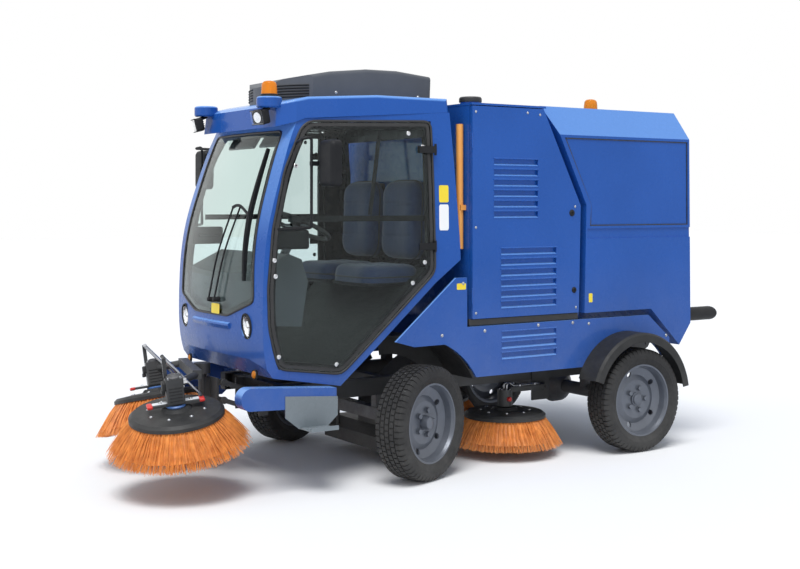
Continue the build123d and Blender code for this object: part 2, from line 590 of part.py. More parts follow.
def build_front_brushes():
    """Parallel-link lift, slewing carrier and the two front brushes."""
    rise = radians(LINK_RISE)
    reach_y, reach_z = -LINK_LENGTH * cos(rise), LINK_LENGTH * sin(rise)
    ends = {}
    for name, z, half in (("lift_link_low", LINK_Z_LOW, 132), ("lift_link_high", LINK_Z_HIGH, 132)):
        tip = (LINK_Y + reach_y, z + reach_z)
        ends[name] = tip
        link = None
        for x in (-half, half):
            bar = side_prism([(LINK_Y, z - 14), (LINK_Y, z + 14), (tip[0], tip[1] + 14),
                              (tip[0], tip[1] - 14)], 6, x)
            eyes = rod((x - 6, LINK_Y, z), (x + 6, LINK_Y, z), 20) + rod(
                (x - 6, *tip), (x + 6, *tip), 20)
            link = bar + eyes if link is None else link + bar + eyes
        link -= rod((-200, LINK_Y, z), (200, LINK_Y, z), 10.5)
        link -= rod((-200, *tip), (200, *tip), 10.5)
        tie_y, tie_z = (LINK_Y + tip[0]) / 2, (z + tip[1]) / 2
        link += rod((-half, tie_y, tie_z), (half, tie_y, tie_z), 12)
        parts[name] = link

    low, high = ends["lift_link_low"], ends["lift_link_high"]
    post = rod((0, SLEW_Y, low[1] - 30), (0, SLEW_Y, high[1] + 40), 22)
    post += block(-110, 110, low[0] - 34, low[0] - 22, low[1] - 22, high[1] + 22)
    post += block(-20, 20, SLEW_Y, low[0] - 24, low[1] - 20, high[1] + 20)
    for y, z in (low, high):
        post += both_sides(block(100, 116, low[0] - 26, low[0] + 16, z - 16, z + 16))
        post += rod((-140, y, z), (140, y, z), 10)
    parts["lift_post"] = post

    slew_plane = Plane(origin=(0, SLEW_Y, 0), x_dir=(cos(radians(SLEW_ANGLE)), sin(radians(SLEW_ANGLE)), 0),
                       z_dir=(0, 0, 1))
    sleeve_z = high[1] + 42
    hub = rod((0, SLEW_Y, sleeve_z), (0, SLEW_Y, sleeve_z + 60), 45)
    beam = slew_plane * Pos(0, -70, sleeve_z + 30) * Box(560, 50, 50)
    neck = slew_plane * Pos(0, -40, sleeve_z + 30) * Box(60, 60, 44)
    carrier = hub + beam + neck
    for side, sign in (("left", 1), ("right", -1)):
        frame = head_frame(sign)
        motor = Pos(0, 0, 124) * Box(92, 92, 134)
        motor = frame * fillet(motor.edges().filter_by(Axis.Z), 10)
        hub_boss = frame * Pos(0, 0, 39.3) * Cylinder(36, 9.4)
        bar = frame * Pos(0, 0, 50) * Box(54, 296, 12)
        start = slew_plane.from_local_coords(Vector(sign * 255, -70, sleeve_z + 30))
        stop = frame.from_local_coords(Vector(0, 0, 150))
        arm = rod(start, stop, 20)
        strut = [(-sign * 54, -40, 290), (-sign * 54, 136, 60)]
        strut = [frame.from_local_coords(Vector(*end)) for end in strut]
        post = frame * Pos(-sign * 14, -40, 243) * Box(20, 20, 106)
        eye = frame * Pos(-sign * 34, -40, 290) * Rotation(0, 90, 0) * Cylinder(9, 60)
        clevis = frame * Pos(-sign * 34, 136, 60) * Rotation(0, 90, 0) * Cylinder(9, 56)
        carrier += [motor, hub_boss, bar, arm, rod(*strut, 7), post, eye, clevis]
        parts[f"brush_disc_front_{side}"] = frame * brush_disc()
        parts[f"bristles_front_{side}"] = frame * brush_bristles(FRONT_TIP_R, FRONT_DROP)
    parts["brush_carrier"] = carrier


def build_mid_brushes():
    """Two side brushes amidships on short swinging arms."""
    x, y, z = MID_BRUSH
    arm = rod((x, y, z + 40), (x, y, z + 140), 46) + rod((x, y, z + 36), (x, y, z + 42), 14)
    arm += block(x - 20, x + 20, y + 30, 1190, z + 120, z + 150)
    arm += rod((x - 20, 1190, z + 135), (x + 20, 1190, z + 135), 22)
    arm -= rod((x - 30, 1190, z + 135), (x + 30, 1190, z + 135), 10.5)
    disc = Pos(x, y, z) * brush_disc()
    ring = Pos(x, y, z) * brush_bristles(MID_TIP_R, MID_DROP)
    for side, sign in (("left", 1), ("right", -1)):
        keep = (lambda s: s) if sign > 0 else (lambda s: mirror(s, Plane.YZ))
        parts[f"mid_arm_{side}"] = keep(arm)
        parts[f"brush_disc_mid_{side}"] = keep(disc)
        parts[f"bristles_mid_{side}"] = keep(ring)


build_wheels()
build_running_gear()
build_cab()
build_housing()
build_hopper()
build_suction()
build_front_brushes()
build_mid_brushes()

os.makedirs("parts", exist_ok=True)
for name, shape in parts.items():
    export_step(Pos(0, -ORIGIN_Y, 0) * shape, f"parts/{name}.step")
print(len(parts), "parts")
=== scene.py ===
from math import cos, pi, radians, sin

import bpy
import numpy as np
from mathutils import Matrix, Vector


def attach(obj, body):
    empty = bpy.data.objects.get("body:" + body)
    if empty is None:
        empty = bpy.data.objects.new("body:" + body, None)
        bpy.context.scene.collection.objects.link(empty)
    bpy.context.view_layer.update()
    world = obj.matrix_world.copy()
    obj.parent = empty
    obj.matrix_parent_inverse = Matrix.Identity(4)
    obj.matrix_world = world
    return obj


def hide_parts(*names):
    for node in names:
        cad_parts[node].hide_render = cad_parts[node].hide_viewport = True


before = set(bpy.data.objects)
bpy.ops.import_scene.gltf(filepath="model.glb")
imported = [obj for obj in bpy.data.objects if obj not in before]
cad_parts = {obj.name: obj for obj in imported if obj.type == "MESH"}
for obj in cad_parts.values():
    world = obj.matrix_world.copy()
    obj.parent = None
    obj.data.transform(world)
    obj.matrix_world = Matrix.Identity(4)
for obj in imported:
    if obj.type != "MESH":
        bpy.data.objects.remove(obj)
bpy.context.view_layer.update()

scene = bpy.context.scene

# ---- Studio: pale floor, one broad soft sun from the front left, low fill from the far side ----
# The floor is matt white board. The backdrop is plain white wherever it is seen directly,
# in gloss or through glass, and a mid grey sky lights the shaded faces.
AXLE_Y = -0.428       # front axle, metres from the origin
EYE_AT, EYE_AZIMUTH, EYE_TILT = (6.414, -3.816 + AXLE_Y, 1.537), radians(56.875), radians(-0.547)
SENSOR_MM, VIEW_WIDTH, FOCAL = 36.0, 800, 1230.5     # the last two in picture points
LENS_AXIS_ROW, MIDDLE_ROW, FAR_CLIP = 192.0, 284.5, 200.0
SUNS = (
    # lamp, strength, spread in degrees, direction its light goes
    ("sun_key", 2.35, 30, (-0.36, 0.30, -1.0)),
    ("sun_side", 0.30, 60, (-0.9, 0.25, -0.32)),
    ("sun_front", 0.36, 60, (0.15, 0.95, -0.35)))
SKY_TONE, SKY_STRENGTH = (0.80, 0.88, 1.0, 1), 0.45
FLOOR_HALF, FLOOR_TONE, FLOOR_ROUGH = 45.0, (0.93, 0.93, 0.93, 1), 0.9


def set_up(name, data, aim, spot=(0, 0, 0)):
    """A camera or lamp at a spot, its own -Z turned to the aim."""
    made = bpy.data.objects.new(name, data)
    made.location = spot
    made.rotation_mode = "QUATERNION"
    made.rotation_quaternion = Vector(aim).to_track_quat("-Z", "Y")
    scene.collection.objects.link(made)
    return made


def node(tree, kind, feeds=(), **settings):
    """One shader node: its settings, then a socket or a plain value for each named input."""
    made = tree.nodes.new(kind)
    for name, value in settings.items():
        setattr(made, name, value)
    for name, value in dict(feeds).items():
        if isinstance(value, bpy.types.NodeSocket):
            tree.links.new(value, made.inputs[name])
        else:
            made.inputs[name].default_value = value
    return made


camera_data = bpy.data.cameras.new("camera")
camera_data.sensor_width = SENSOR_MM
camera_data.lens = FOCAL * SENSOR_MM / VIEW_WIDTH
camera_data.shift_y = (LENS_AXIS_ROW - MIDDLE_ROW) / VIEW_WIDTH
camera_data.clip_end = FAR_CLIP
look_back = Vector((sin(EYE_AZIMUTH) * cos(EYE_TILT), -cos(EYE_AZIMUTH) * cos(EYE_TILT),
                    sin(EYE_TILT)))
scene.camera = set_up("camera", camera_data, -look_back, EYE_AT)
scene.view_settings.view_transform = "Standard"

scene.world = bpy.data.worlds.new("sky")
scene.world.use_nodes = True
sky = scene.world.node_tree
sky.nodes.clear()
ray = node(sky, "ShaderNodeLightPath").outputs
seen = node(sky, "ShaderNodeMath", {0: ray["Is Camera Ray"], 1: ray["Is Glossy Ray"]},
            operation="MAXIMUM")
seen = node(sky, "ShaderNodeMath", {0: seen.outputs[0], 1: ray["Is Transmission Ray"]},
            operation="MAXIMUM")
fill_light = node(sky, "ShaderNodeBackground", {"Color": SKY_TONE, "Strength": SKY_STRENGTH})
backdrop = node(sky, "ShaderNodeBackground", {"Color": (1, 1, 1, 1), "Strength": 1.0})
shown = node(sky, "ShaderNodeMixShader",
             {0: seen.outputs[0], 1: fill_light.outputs[0], 2: backdrop.outputs[0]})
node(sky, "ShaderNodeOutputWorld", {"Surface": shown.outputs[0]})

for lamp_name, strength, spread, aim in SUNS:
    lamp = bpy.data.lights.new(lamp_name, "SUN")
    lamp.energy, lamp.angle = strength, radians(spread)
    set_up(lamp_name, lamp, aim)

floor_mesh = bpy.data.meshes.new("studio_floor")
floor_mesh.from_pydata([(-FLOOR_HALF, -FLOOR_HALF, 0), (FLOOR_HALF, -FLOOR_HALF, 0),
                        (FLOOR_HALF, FLOOR_HALF, 0), (-FLOOR_HALF, FLOOR_HALF, 0)],
                       [], [(0, 1, 2, 3)])
floor = bpy.data.objects.new("studio_floor", floor_mesh)
scene.collection.objects.link(floor)
floor_board = bpy.data.materials.new("floor_board")
floor_board.use_nodes = True
floor_skin = floor_board.node_tree.nodes["Principled BSDF"]
floor_skin.inputs["Base Color"].default_value = FLOOR_TONE
floor_skin.inputs["Roughness"].default_value = FLOOR_ROUGH
floor_mesh.materials.append(floor_board)

# ---- Blue bodywork: sprayed gloss paint on steel panels and moulded roof ----
# Gloss two-coat paint with faint orange peel, a slow drift in shade from panel to panel,
# and a film of road dust that thickens towards the ground; the upward faces carry painted
# sky light, a paler blue laid over them as a painted reflection.
ROAD_DUST, BUMP_DEPTH = (0.40, 0.39, 0.36), 0.002
DUST_SCALE, DUST_THINNEST = 9.0, 0.15
# Painted light: how far a face's normal points up where the painted sky light starts and is full,
# and its most.
PAINTED_LIGHT_FROM, PAINTED_LIGHT_TO, PAINTED_LIGHT_MOST = 0.15, 0.50, 0.85     # upward share of a face's normal, amount


def noise_field(tree, scale, detail=2.0, rough=0.5, stretch=(1, 1, 1)):
    """Noise over the piece's own coordinates, stretched along an axis if asked."""
    place = node(tree, "ShaderNodeTexCoord").outputs["Object"]
    spread = node(tree, "ShaderNodeMapping", {"Vector": place, "Scale": stretch})
    return node(tree, "ShaderNodeTexNoise",
                {"Vector": spread.outputs["Vector"], "Scale": scale, "Detail": detail,
                 "Roughness": rough}).outputs["Fac"]


def ramp(tree, field, low, high):
    """A field turned into tones: low and high are each (place, (r, g, b))."""
    band = node(tree, "ShaderNodeValToRGB", {"Fac": field})
    for element, (place, tone) in zip(band.color_ramp.elements, (low, high)):
        element.position, element.color = place, (*tone, 1)
    return band.outputs["Color"]


def grey_ramp(tree, field, low, high):
    """The same for a plain amount: low and high are each (place, amount)."""
    return ramp(tree, field, (low[0], (low[1],) * 3), (high[0], (high[1],) * 3))


def laid_over(tree, mask, under, tone):
    """A plain tone laid over a colour socket where the mask is 1."""
    return node(tree, "ShaderNodeMix", {0: mask, 6: under, 7: (*tone, 1)},
                data_type="RGBA").outputs[2]


def part_of(tree, source, axis):
    """One axis of the piece's own coordinates (Object) or of the way a face looks (Normal)."""
    place = node(tree, "ShaderNodeTexCoord").outputs[source]
    return node(tree, "ShaderNodeSeparateXYZ", {"Vector": place}).outputs[axis]


def matter(name, tones, rough=(0.3, 0.4), grain=(60.0, 0.02), drift=3.0, dust=None,
           painted_light=None, stretch=(1, 1, 1), **plain):
    """A procedural material.

    tones: two (r, g, b) that the slow noise of scale `drift` moves between.
    rough: roughness range carried by a finer noise. grain: (scale, strength) of the bump.
    dust: (low z, high z, amount) of a road film that fades with height, or with its tone.
    painted_light: (r, g, b) of painted sky light laid over the faces that look up,
    stronger the more they look up.
    plain: numbers set on the shader's own sockets, named with spaces as underscores.
    """
    made = bpy.data.materials.new(name)
    made.use_nodes = True
    tree = made.node_tree
    skin = tree.nodes["Principled BSDF"]
    tint = ramp(tree, noise_field(tree, drift, 3.0, 0.55, stretch), (0.3, tones[0]),
                (0.7, tones[1]))
    # Painted light: faces that look up are painted towards a paler tone, a painted sky reflection.
    if painted_light:
        share = node(tree, "ShaderNodeMapRange",
                     {"Value": part_of(tree, "Normal", "Z"), "From Min": PAINTED_LIGHT_FROM,
                      "From Max": PAINTED_LIGHT_TO, "To Max": PAINTED_LIGHT_MOST}).outputs["Result"]
        tint = laid_over(tree, share, tint, painted_light)
    if dust:
        low, high, amount, film_tone = (*dust, ROAD_DUST)[:4]
        fall = node(tree, "ShaderNodeMapRange",
                    {"Value": part_of(tree, "Object", "Z"), "From Min": low, "From Max": high,
                     "To Min": 1.0, "To Max": 0.0}).outputs["Result"]
        patchy = grey_ramp(tree, noise_field(tree, DUST_SCALE, 6.0, 0.65),
                           (0.25, DUST_THINNEST), (0.75, amount))
        film = node(tree, "ShaderNodeMath", {0: fall, 1: patchy}, operation="MULTIPLY")
        tint = laid_over(tree, film.outputs[0], tint, film_tone)
    sheen = grey_ramp(tree, noise_field(tree, drift * 7, 4.0, 0.6, stretch), (0.3, rough[0]),
                      (0.7, rough[1]))
    bump = node(tree, "ShaderNodeBump",
                {"Strength": grain[1], "Distance": BUMP_DEPTH,
                 "Height": noise_field(tree, grain[0], 3.0, 0.6, stretch)})
    for socket, source in (("Base Color", tint), ("Roughness", sheen),
                           ("Normal", bump.outputs["Normal"])):
        tree.links.new(source, skin.inputs[socket])
    for socket, value in plain.items():
        skin.inputs[socket.replace("_", " ")].default_value = value
    return made


def painted_over(paint, name, tone, mask):
    """A copy of a paint with another tone where mask(tree) gives 1."""
    made = paint.copy()
    made.name = name
    tree = made.node_tree
    colour = tree.nodes["Principled BSDF"].inputs["Base Color"]
    tree.links.new(laid_over(tree, mask(tree), colour.links[0].from_socket, tone), colour)
    return made


def pairs(*names):
    """Left and right node names."""
    return [f"{name}_{side_name}" for name in names for side_name in ("left", "right")]


def dress(material, *names):
    """Gives carried-over CAD nodes their material."""
    for name in names:
        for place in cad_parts[name].material_slots:
            place.material = material


# The blue's upward faces carry painted sky light, a paler blue laid over them.
blue_paint = matter("blue_paint", [(0.0117, 0.08, 0.345), (0.0159, 0.0938, 0.3933)],
                    rough=(0.22, 0.32), grain=(90.0, 0.012), drift=1.4, dust=(0.35, 1.2, 0.05),
                    painted_light=(0.17, 0.37, 0.80), Coat_Weight=0.2, Coat_Roughness=0.05,
                    Specular_IOR_Level=0.15)
dress(blue_paint, "engine_housing", "hopper_body", "hopper_sides", "hopper_door", "roof_panel",
      *pairs("engine_door", "skirt"))

# ---- Side beams and steps: blue beams with bare galvanised step plates outside them ----
# One paint serves both; where the piece lies outside the beam's face it shows worn zinc.
STEP_FROM, WORN_ZINC = 0.661, (0.19, 0.22, 0.24)


def outside_beam(tree):
    """1 where the piece's own X is further out than the beam's face."""
    size = node(tree, "ShaderNodeMath", {0: part_of(tree, "Object", "X")}, operation="ABSOLUTE")
    return node(tree, "ShaderNodeMath", {0: size.outputs[0], 1: STEP_FROM},
                operation="GREATER_THAN").outputs[0]


dress(painted_over(blue_paint, "beam_and_step_paint", WORN_ZINC, outside_beam), "side_beams")

# ---- Black and grey parts: frame paint, moulded plastic, rubber, cast axles ----
# Grained nylon and PVC covers, chassis enamel over rolled steel, rough iron castings left grey
# and moulded duct rubber; zinc and chrome are plated, and the stowed tube is painted orange.
black_plastic = matter("black_plastic", [(0.0083, 0.009, 0.011), (0.0152, 0.0159, 0.0179)],
                       rough=(0.42, 0.55), grain=(420.0, 0.12), drift=4.0,
                       dust=(0.2, 1.0, 0.03), Specular_IOR_Level=0.2)
grey_plastic = matter("grey_plastic", [(0.0621, 0.069, 0.0828), (0.0828, 0.0911, 0.1076)],
                      rough=(0.4, 0.52), grain=(420.0, 0.1), drift=4.0)
frame_black = matter("frame_black", [(0.0193, 0.0207, 0.0235), (0.0345, 0.0359, 0.04)],
                     rough=(0.35, 0.5), grain=(120.0, 0.08), drift=6.0, dust=(0.2, 0.9, 0.08),
                     Specular_IOR_Level=0.35)
cast_grey = matter("cast_grey", [(0.069, 0.069, 0.0759), (0.1242, 0.1242, 0.1311)],
                   rough=(0.5, 0.7), grain=(300.0, 0.35), drift=12.0, dust=(0.1, 0.8, 0.2),
                   Metallic=0.3)
duct_rubber = matter("duct_rubber", [(0.0221, 0.0221, 0.0235), (0.0414, 0.0414, 0.0414)],
                     rough=(0.55, 0.7), grain=(150.0, 0.15), drift=8.0, dust=(0.05, 0.7, 0.2))
zinc = matter("zinc", [(0.34, 0.35, 0.37), (0.48, 0.49, 0.51)], rough=(0.22, 0.38),
              grain=(500.0, 0.06), drift=40.0, Metallic=1.0)
chrome = matter("chrome", [(0.50, 0.51, 0.53), (0.60, 0.61, 0.63)], rough=(0.05, 0.12),
                grain=(300.0, 0.01), drift=30.0, Metallic=1.0)
orange_paint = matter("orange_paint", [(0.88, 0.345, 0.069), (0.88, 0.414, 0.0966)],
                      rough=(0.3, 0.42), grain=(200.0, 0.03), drift=5.0)
dress(black_plastic, "outlet_pipe",
      *pairs("door_frame", "mirror", "fender", "brush_disc_front", "brush_disc_mid"))
dress(grey_plastic, "aircon_unit", "dashboard")
dress(frame_black, "chassis_frame", "cross_members", "tow_lug", "brush_carrier", "lift_post",
      "lift_link_low", "lift_link_high", *pairs("mid_arm"))
dress(cast_grey, "front_axle", "rear_axle", "engine_block", *pairs("knuckle"))
dress(duct_rubber, "suction_duct", "suction_mouth")
dress(orange_paint, "hose_tube")

# ---- Glazing: tinted safety glass, six millimetres thick ----
# Faint green-grey tint in the body of the glass; a light film of wiped dust roughens it
# in patches. The door panes carry no frame outside; their edge is printed black.
GLASS_IOR, TINT_LIFT = 1.25, 1.04


def glass(name, tint, film=(0.0, 0.03), clear=1.0):
    """Clear glass whose polish is dulled in slow patches; clear is what it lets through."""
    made = bpy.data.materials.new(name)
    made.use_nodes = True
    tree = made.node_tree
    skin = tree.nodes["Principled BSDF"].inputs
    skin["Transmission Weight"].default_value = clear
    skin["IOR"].default_value = GLASS_IOR
    tree.links.new(ramp(tree, noise_field(tree, 2.0), (0.3, tint),
                        (0.7, [t * TINT_LIFT for t in tint])), skin["Base Color"])
    tree.links.new(grey_ramp(tree, noise_field(tree, 5.0, 5.0, 0.6), (0.4, film[0]),
                             (0.8, film[1])), skin["Roughness"])
    return made


dress(glass("screen_glass", (0.80, 0.90, 0.87)), "cab_glazing")
dress(glass("door_glass", (0.72, 0.80, 0.79)), *pairs("door_glass"))
clear_lens = glass("clear_lens", (0.95, 0.96, 0.97), (0.02, 0.08))
amber_lens = glass("amber_lens", (0.95, 0.30, 0.02), (0.10, 0.22), clear=0.35)
dress(clear_lens, "front_lamps")
dress(amber_lens, "front_beacon", "rear_beacon")


# ---- Tyres: four road tyres, tread moulded in blocks, ribbed walls ----
# Vulcanised rubber, matt black going grey with dust; the blocks are cut by straight
# grooves round the tyre and by cross cuts staggered from rib to rib.
SIDES = (("left", 1), ("right", -1))
ACROSS, ALONG, UP = np.eye(3)        # right, rearwards and upwards
TYRE_R, KINGPIN_X, STUB, STEER = 0.320, 0.62, 0.11, radians(20)
REAR_HUB_X, WHEELBASE = 0.762, 1.614
CROWN_R, CROWN_FALL, SHOULDER_X, TREAD_SQUEEZE = 0.3195, 0.9, 0.068, 0.993
GROOVE_DEPTH, GROOVE_LIP, CUT_DEPTH = 0.008, 0.0006, 0.0064
GROOVES = ((-0.047, 0.0035), (-0.0155, 0.004), (0.0155, 0.004), (0.047, 0.0035))
TYRE_WALL = [      # from the bead up: offset, radius, kind
    (-0.070, 0.2235, "wall"), (-0.0815, 0.2225, "wall"), (-0.0855, 0.231, "wall"),
    (-0.0905, 0.240, "wall"), (-0.0962, 0.256, "wall"), (-0.0968, 0.2575, "ridge"),
    (-0.0962, 0.259, "wall"), (-0.0972, 0.270, "wall"), (-0.0952, 0.284, "wall"),
    (-0.0905, 0.298, "lug"), (-0.0835, 0.3085, "lug"), (-0.0745, 0.3155, "rib0")]
PITCHES, BEATS = 58, (0.0, 0.03, 0.2, 0.23, 0.5, 0.53, 0.70, 0.73)
CUTS = {"rib0": (1, 2), "rib1": (5, 6), "rib2": (1, 2), "rib3": (5, 6), "rib4": (1, 2),
        "lug": (1, 2)}           # the beats at which each rib is cut

WHEELS = {}      # wheel: its centre, its axle outwards and the two directions across it
for axle_name, turn, hub_x, hub_y, stub in (("front", STEER, KINGPIN_X, 0.0, STUB),
                                            ("rear", 0.0, REAR_HUB_X, WHEELBASE, 0.0)):
    for side_name, side in SIDES:
        out = side * np.array([cos(turn), sin(turn), 0.0])
        centre = np.array([side * hub_x, hub_y + AXLE_Y, TYRE_R]) + stub * out
        WHEELS[f"{axle_name}_{side_name}"] = (centre, out, np.cross(UP, out), UP)


def quads(rows, columns, wrap_rows=False, wrap_columns=False):
    """Faces of a grid whose point (i, j) has index i * columns + j."""
    i, j = np.meshgrid(np.arange(rows if wrap_rows else rows - 1),
                       np.arange(columns if wrap_columns else columns - 1), indexing="ij")
    i, j = i.ravel(), j.ravel()
    down, right = (i + 1) % rows, (j + 1) % columns
    return np.stack([i * columns + j, down * columns + j, down * columns + right,
                     i * columns + right], 1)


def piece(name, shape, material, body="chassis", crease=35.0,
          replaces=()):
    """A mesh piece riding on a CAD body: one surface (points, faces) or a list of them."""
    points, faces = [], []
    for spots, sides in shape if isinstance(shape, list) else [shape]:
        faces += [[int(k) + len(points) for k in face] for face in sides]
        points += np.asarray(spots, float).tolist()
    mesh = bpy.data.meshes.new(name)
    mesh.from_pydata(points, [], faces)
    mesh.materials.append(material)
    mesh.shade_smooth()
    mesh.set_sharp_from_angle(angle=radians(crease))
    made = bpy.data.objects.new(name, mesh)
    scene.collection.objects.link(made)
    if replaces:
        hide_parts(*replaces)
    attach(made, body)
    return made


def turned(profile, steps, axes, wrap_profile=False):
    """Surface of revolution: (offset, radius) profile turned about a frame's first axis."""
    centre, axle, side, up = axes
    offset, radius = np.asarray(profile, float).T
    angle = np.linspace(0, 2 * pi, steps, endpoint=False)
    ring = np.cos(angle)[:, None] * side + np.sin(angle)[:, None] * up
    points = centre + offset[None, :, None] * axle + radius[None, :, None] * ring[:, None, :]
    return points.reshape(-1, 3), quads(steps, len(offset), wrap_rows=True,
                                        wrap_columns=wrap_profile)


def tread_grid():
    """Offsets of the columns across a tyre, angles of the rings round it, radius of each point.

    The crown falls from its middle by a share of the offset squared. Grooves are columns
    pulled in by the tread's depth, and cross cuts are rings pulled in on some ribs.
    """
    columns, rib_from = list(TYRE_WALL), -SHOULDER_X
    for rib, (middle, half) in enumerate((*GROOVES, (SHOULDER_X, 0.0))):
        left, right = middle - half, middle + half
        columns += [(x, CROWN_R - CROWN_FALL * x * x, f"rib{rib}")
                    for x in np.linspace(rib_from, left, 3)]
        if half:
            columns += [(left + GROOVE_LIP, CROWN_R - CROWN_FALL * left ** 2 - GROOVE_DEPTH, ""),
                        (right - GROOVE_LIP, CROWN_R - CROWN_FALL * right ** 2 - GROOVE_DEPTH, "")]
        rib_from = right
    columns += [(-x, r, kind.replace("rib0", "rib4")) for x, r, kind in reversed(TYRE_WALL)]
    cut = np.array([[beat in CUTS.get(kind, ()) for _, _, kind in columns]
                    for beat in range(len(BEATS))])
    radii = np.array([r for _, r, _ in columns]) - CUT_DEPTH * cut
    angles = 2 * pi * (np.arange(PITCHES)[:, None] + np.array(BEATS)).ravel() / PITCHES
    return np.array([x for x, _, _ in columns]), angles, np.tile(radii, (PITCHES, 1))


tyre_rubber = matter("tyre_rubber", [(0.0124, 0.0124, 0.0138), (0.0221, 0.0221, 0.0235)],
                     rough=(0.62, 0.8), grain=(260.0, 0.2), drift=10.0, dust=(0.0, 0.7, 0.03),
                     Specular_IOR_Level=0.3)
tread_x, tread_angle, tread_r = tread_grid()
for wheel, (centre, axle, side, up) in WHEELS.items():
    ring = np.cos(tread_angle)[:, None] * side + np.sin(tread_angle)[:, None] * up
    grid = (centre + TREAD_SQUEEZE * tread_x[None, :, None] * axle
            + tread_r[:, :, None] * ring[:, None, :]).reshape(-1, 3)
    piece(f"tread_{wheel}", (grid, quads(len(tread_angle), len(tread_x), True, True)),
          tyre_rubber, f"wheel_{wheel}", crease=28.0,
          replaces=[f"tyre_{wheel}"])

# ---- Wheel nuts and hub caps: five turned hexagon nuts on flat washers, pressed cap ----
# Rims, nuts and caps are painted one slate grey, worn and dusty near the ground.
NUT_CIRCLE, NUTS, RIM_FACE = 0.070, 5, 0.0225
HUB_REACH = {"front": 0.066, "rear": 0.044}
WASHER = [(RIM_FACE, 0.0), (RIM_FACE, 0.019), (0.0255, 0.0195), (0.0265, 0.0165)]
NUT = [(0.0262, 0.0155), (0.0392, 0.0155), (0.0412, 0.0135), (0.0412, 0.0082), (0.0400, 0.0)]
rim_paint = matter("rim_paint", [(0.0828, 0.0966, 0.127), (0.1104, 0.127, 0.1628)],
                   rough=(0.3, 0.42), grain=(260.0, 0.05), drift=9.0, dust=(0.05, 0.75, 0.15),
                   Metallic=0.35)
dress(rim_paint, *pairs("rim_front", "rim_rear"))


def on_circle(axes, radius, count, lead=0.0):
    """Frames evenly round a circle across a frame's first axis, the first one lead parts on."""
    centre, first, second, third = axes
    return [(centre + radius * (cos(angle) * second + sin(angle) * third), first, second, third)
            for angle in 2 * pi * (np.arange(count) + lead) / count]


for wheel, axes in WHEELS.items():
    reach = HUB_REACH[wheel.split("_")[0]]
    cap = [(RIM_FACE, 0.0415), (0.030, 0.041), (reach - 0.012, 0.0355), (reach - 0.003, 0.033),
           (reach + 0.001, 0.028), (reach + 0.003, 0.012), (reach + 0.003, 0.0)]
    hub = [turned(profile, steps, spot) for spot in on_circle(axes, NUT_CIRCLE, NUTS)
           for profile, steps in ((WASHER, 24), (NUT, 6))]
    piece(f"hub_nuts_{wheel}", hub + [turned(cap, 36, axes)], rim_paint, f"wheel_{wheel}")

# ---- Brush bristles: four rings of crimped orange polypropylene ----
# Each ring is drawn through the plate in tufts that lean outwards and splay at the tip.
# Round the root the tufts merge into a closed skirt, so nothing shows between them.
BRUSH_SLEW, CARRIER_Y, HEAD_X, HEAD_Y = radians(-15.2), -0.96, 0.4265, -0.2
HEAD_Z, HEAD_ROLL, HEAD_LEAN, HEAD_PITCH = 0.43, 0.016, 0.18, -0.116
SIDE_BRUSH_AT = (0.40, 0.88, 0.253)
TUFTS, STRANDS, JOINTS = 74, 24, 5
STRAND_HALF, STRAND_TAPER, STRAND_LEAN, CRIMP = 0.0027, 0.62, 0.6, 0.010
ROOT_R, ROOT_BAND, ROOT_STRAY, ROOT_Z = 0.155, 0.088, 0.004, -0.022
TIP_BAND, TIP_TRIM, LENGTH_TRIM, TUFT_SPREAD, SPLAY = 0.075, (0.001, 0.012), 0.05, 0.30, 0.022
INNER_DROP, REACH_POWER, SPLAY_POWER = 0.008, 0.85, 1.5
SKIRT_R, SKIRT_WAVE, SKIRT_GAP, SKIRT_Z = 0.236, 0.0035, 0.026, -0.024


def front_brush_frame(sign):
    """Centre and axes (across, along, normal) of a front brush on the slewed carrier."""
    x, y = sign * HEAD_X, HEAD_Y
    c, s = cos(BRUSH_SLEW), sin(BRUSH_SLEW)
    centre = np.array([c * x - s * y, CARRIER_Y + s * x + c * y + AXLE_Y,
                       HEAD_Z + sign * HEAD_ROLL])
    lean = sign * HEAD_LEAN
    normal = np.array([c * lean - s * HEAD_PITCH, s * lean + c * HEAD_PITCH, 1.0])
    normal /= np.linalg.norm(normal)
    across = np.array([c, s, 0.0])
    across -= normal * (across @ normal)
    across /= np.linalg.norm(across)
    return centre, across, np.cross(normal, across), normal


def side_brush_hub(side):
    """Centre of a side brush's plate."""
    x, y, z = SIDE_BRUSH_AT
    return np.array([side * x, y + AXLE_Y, z])


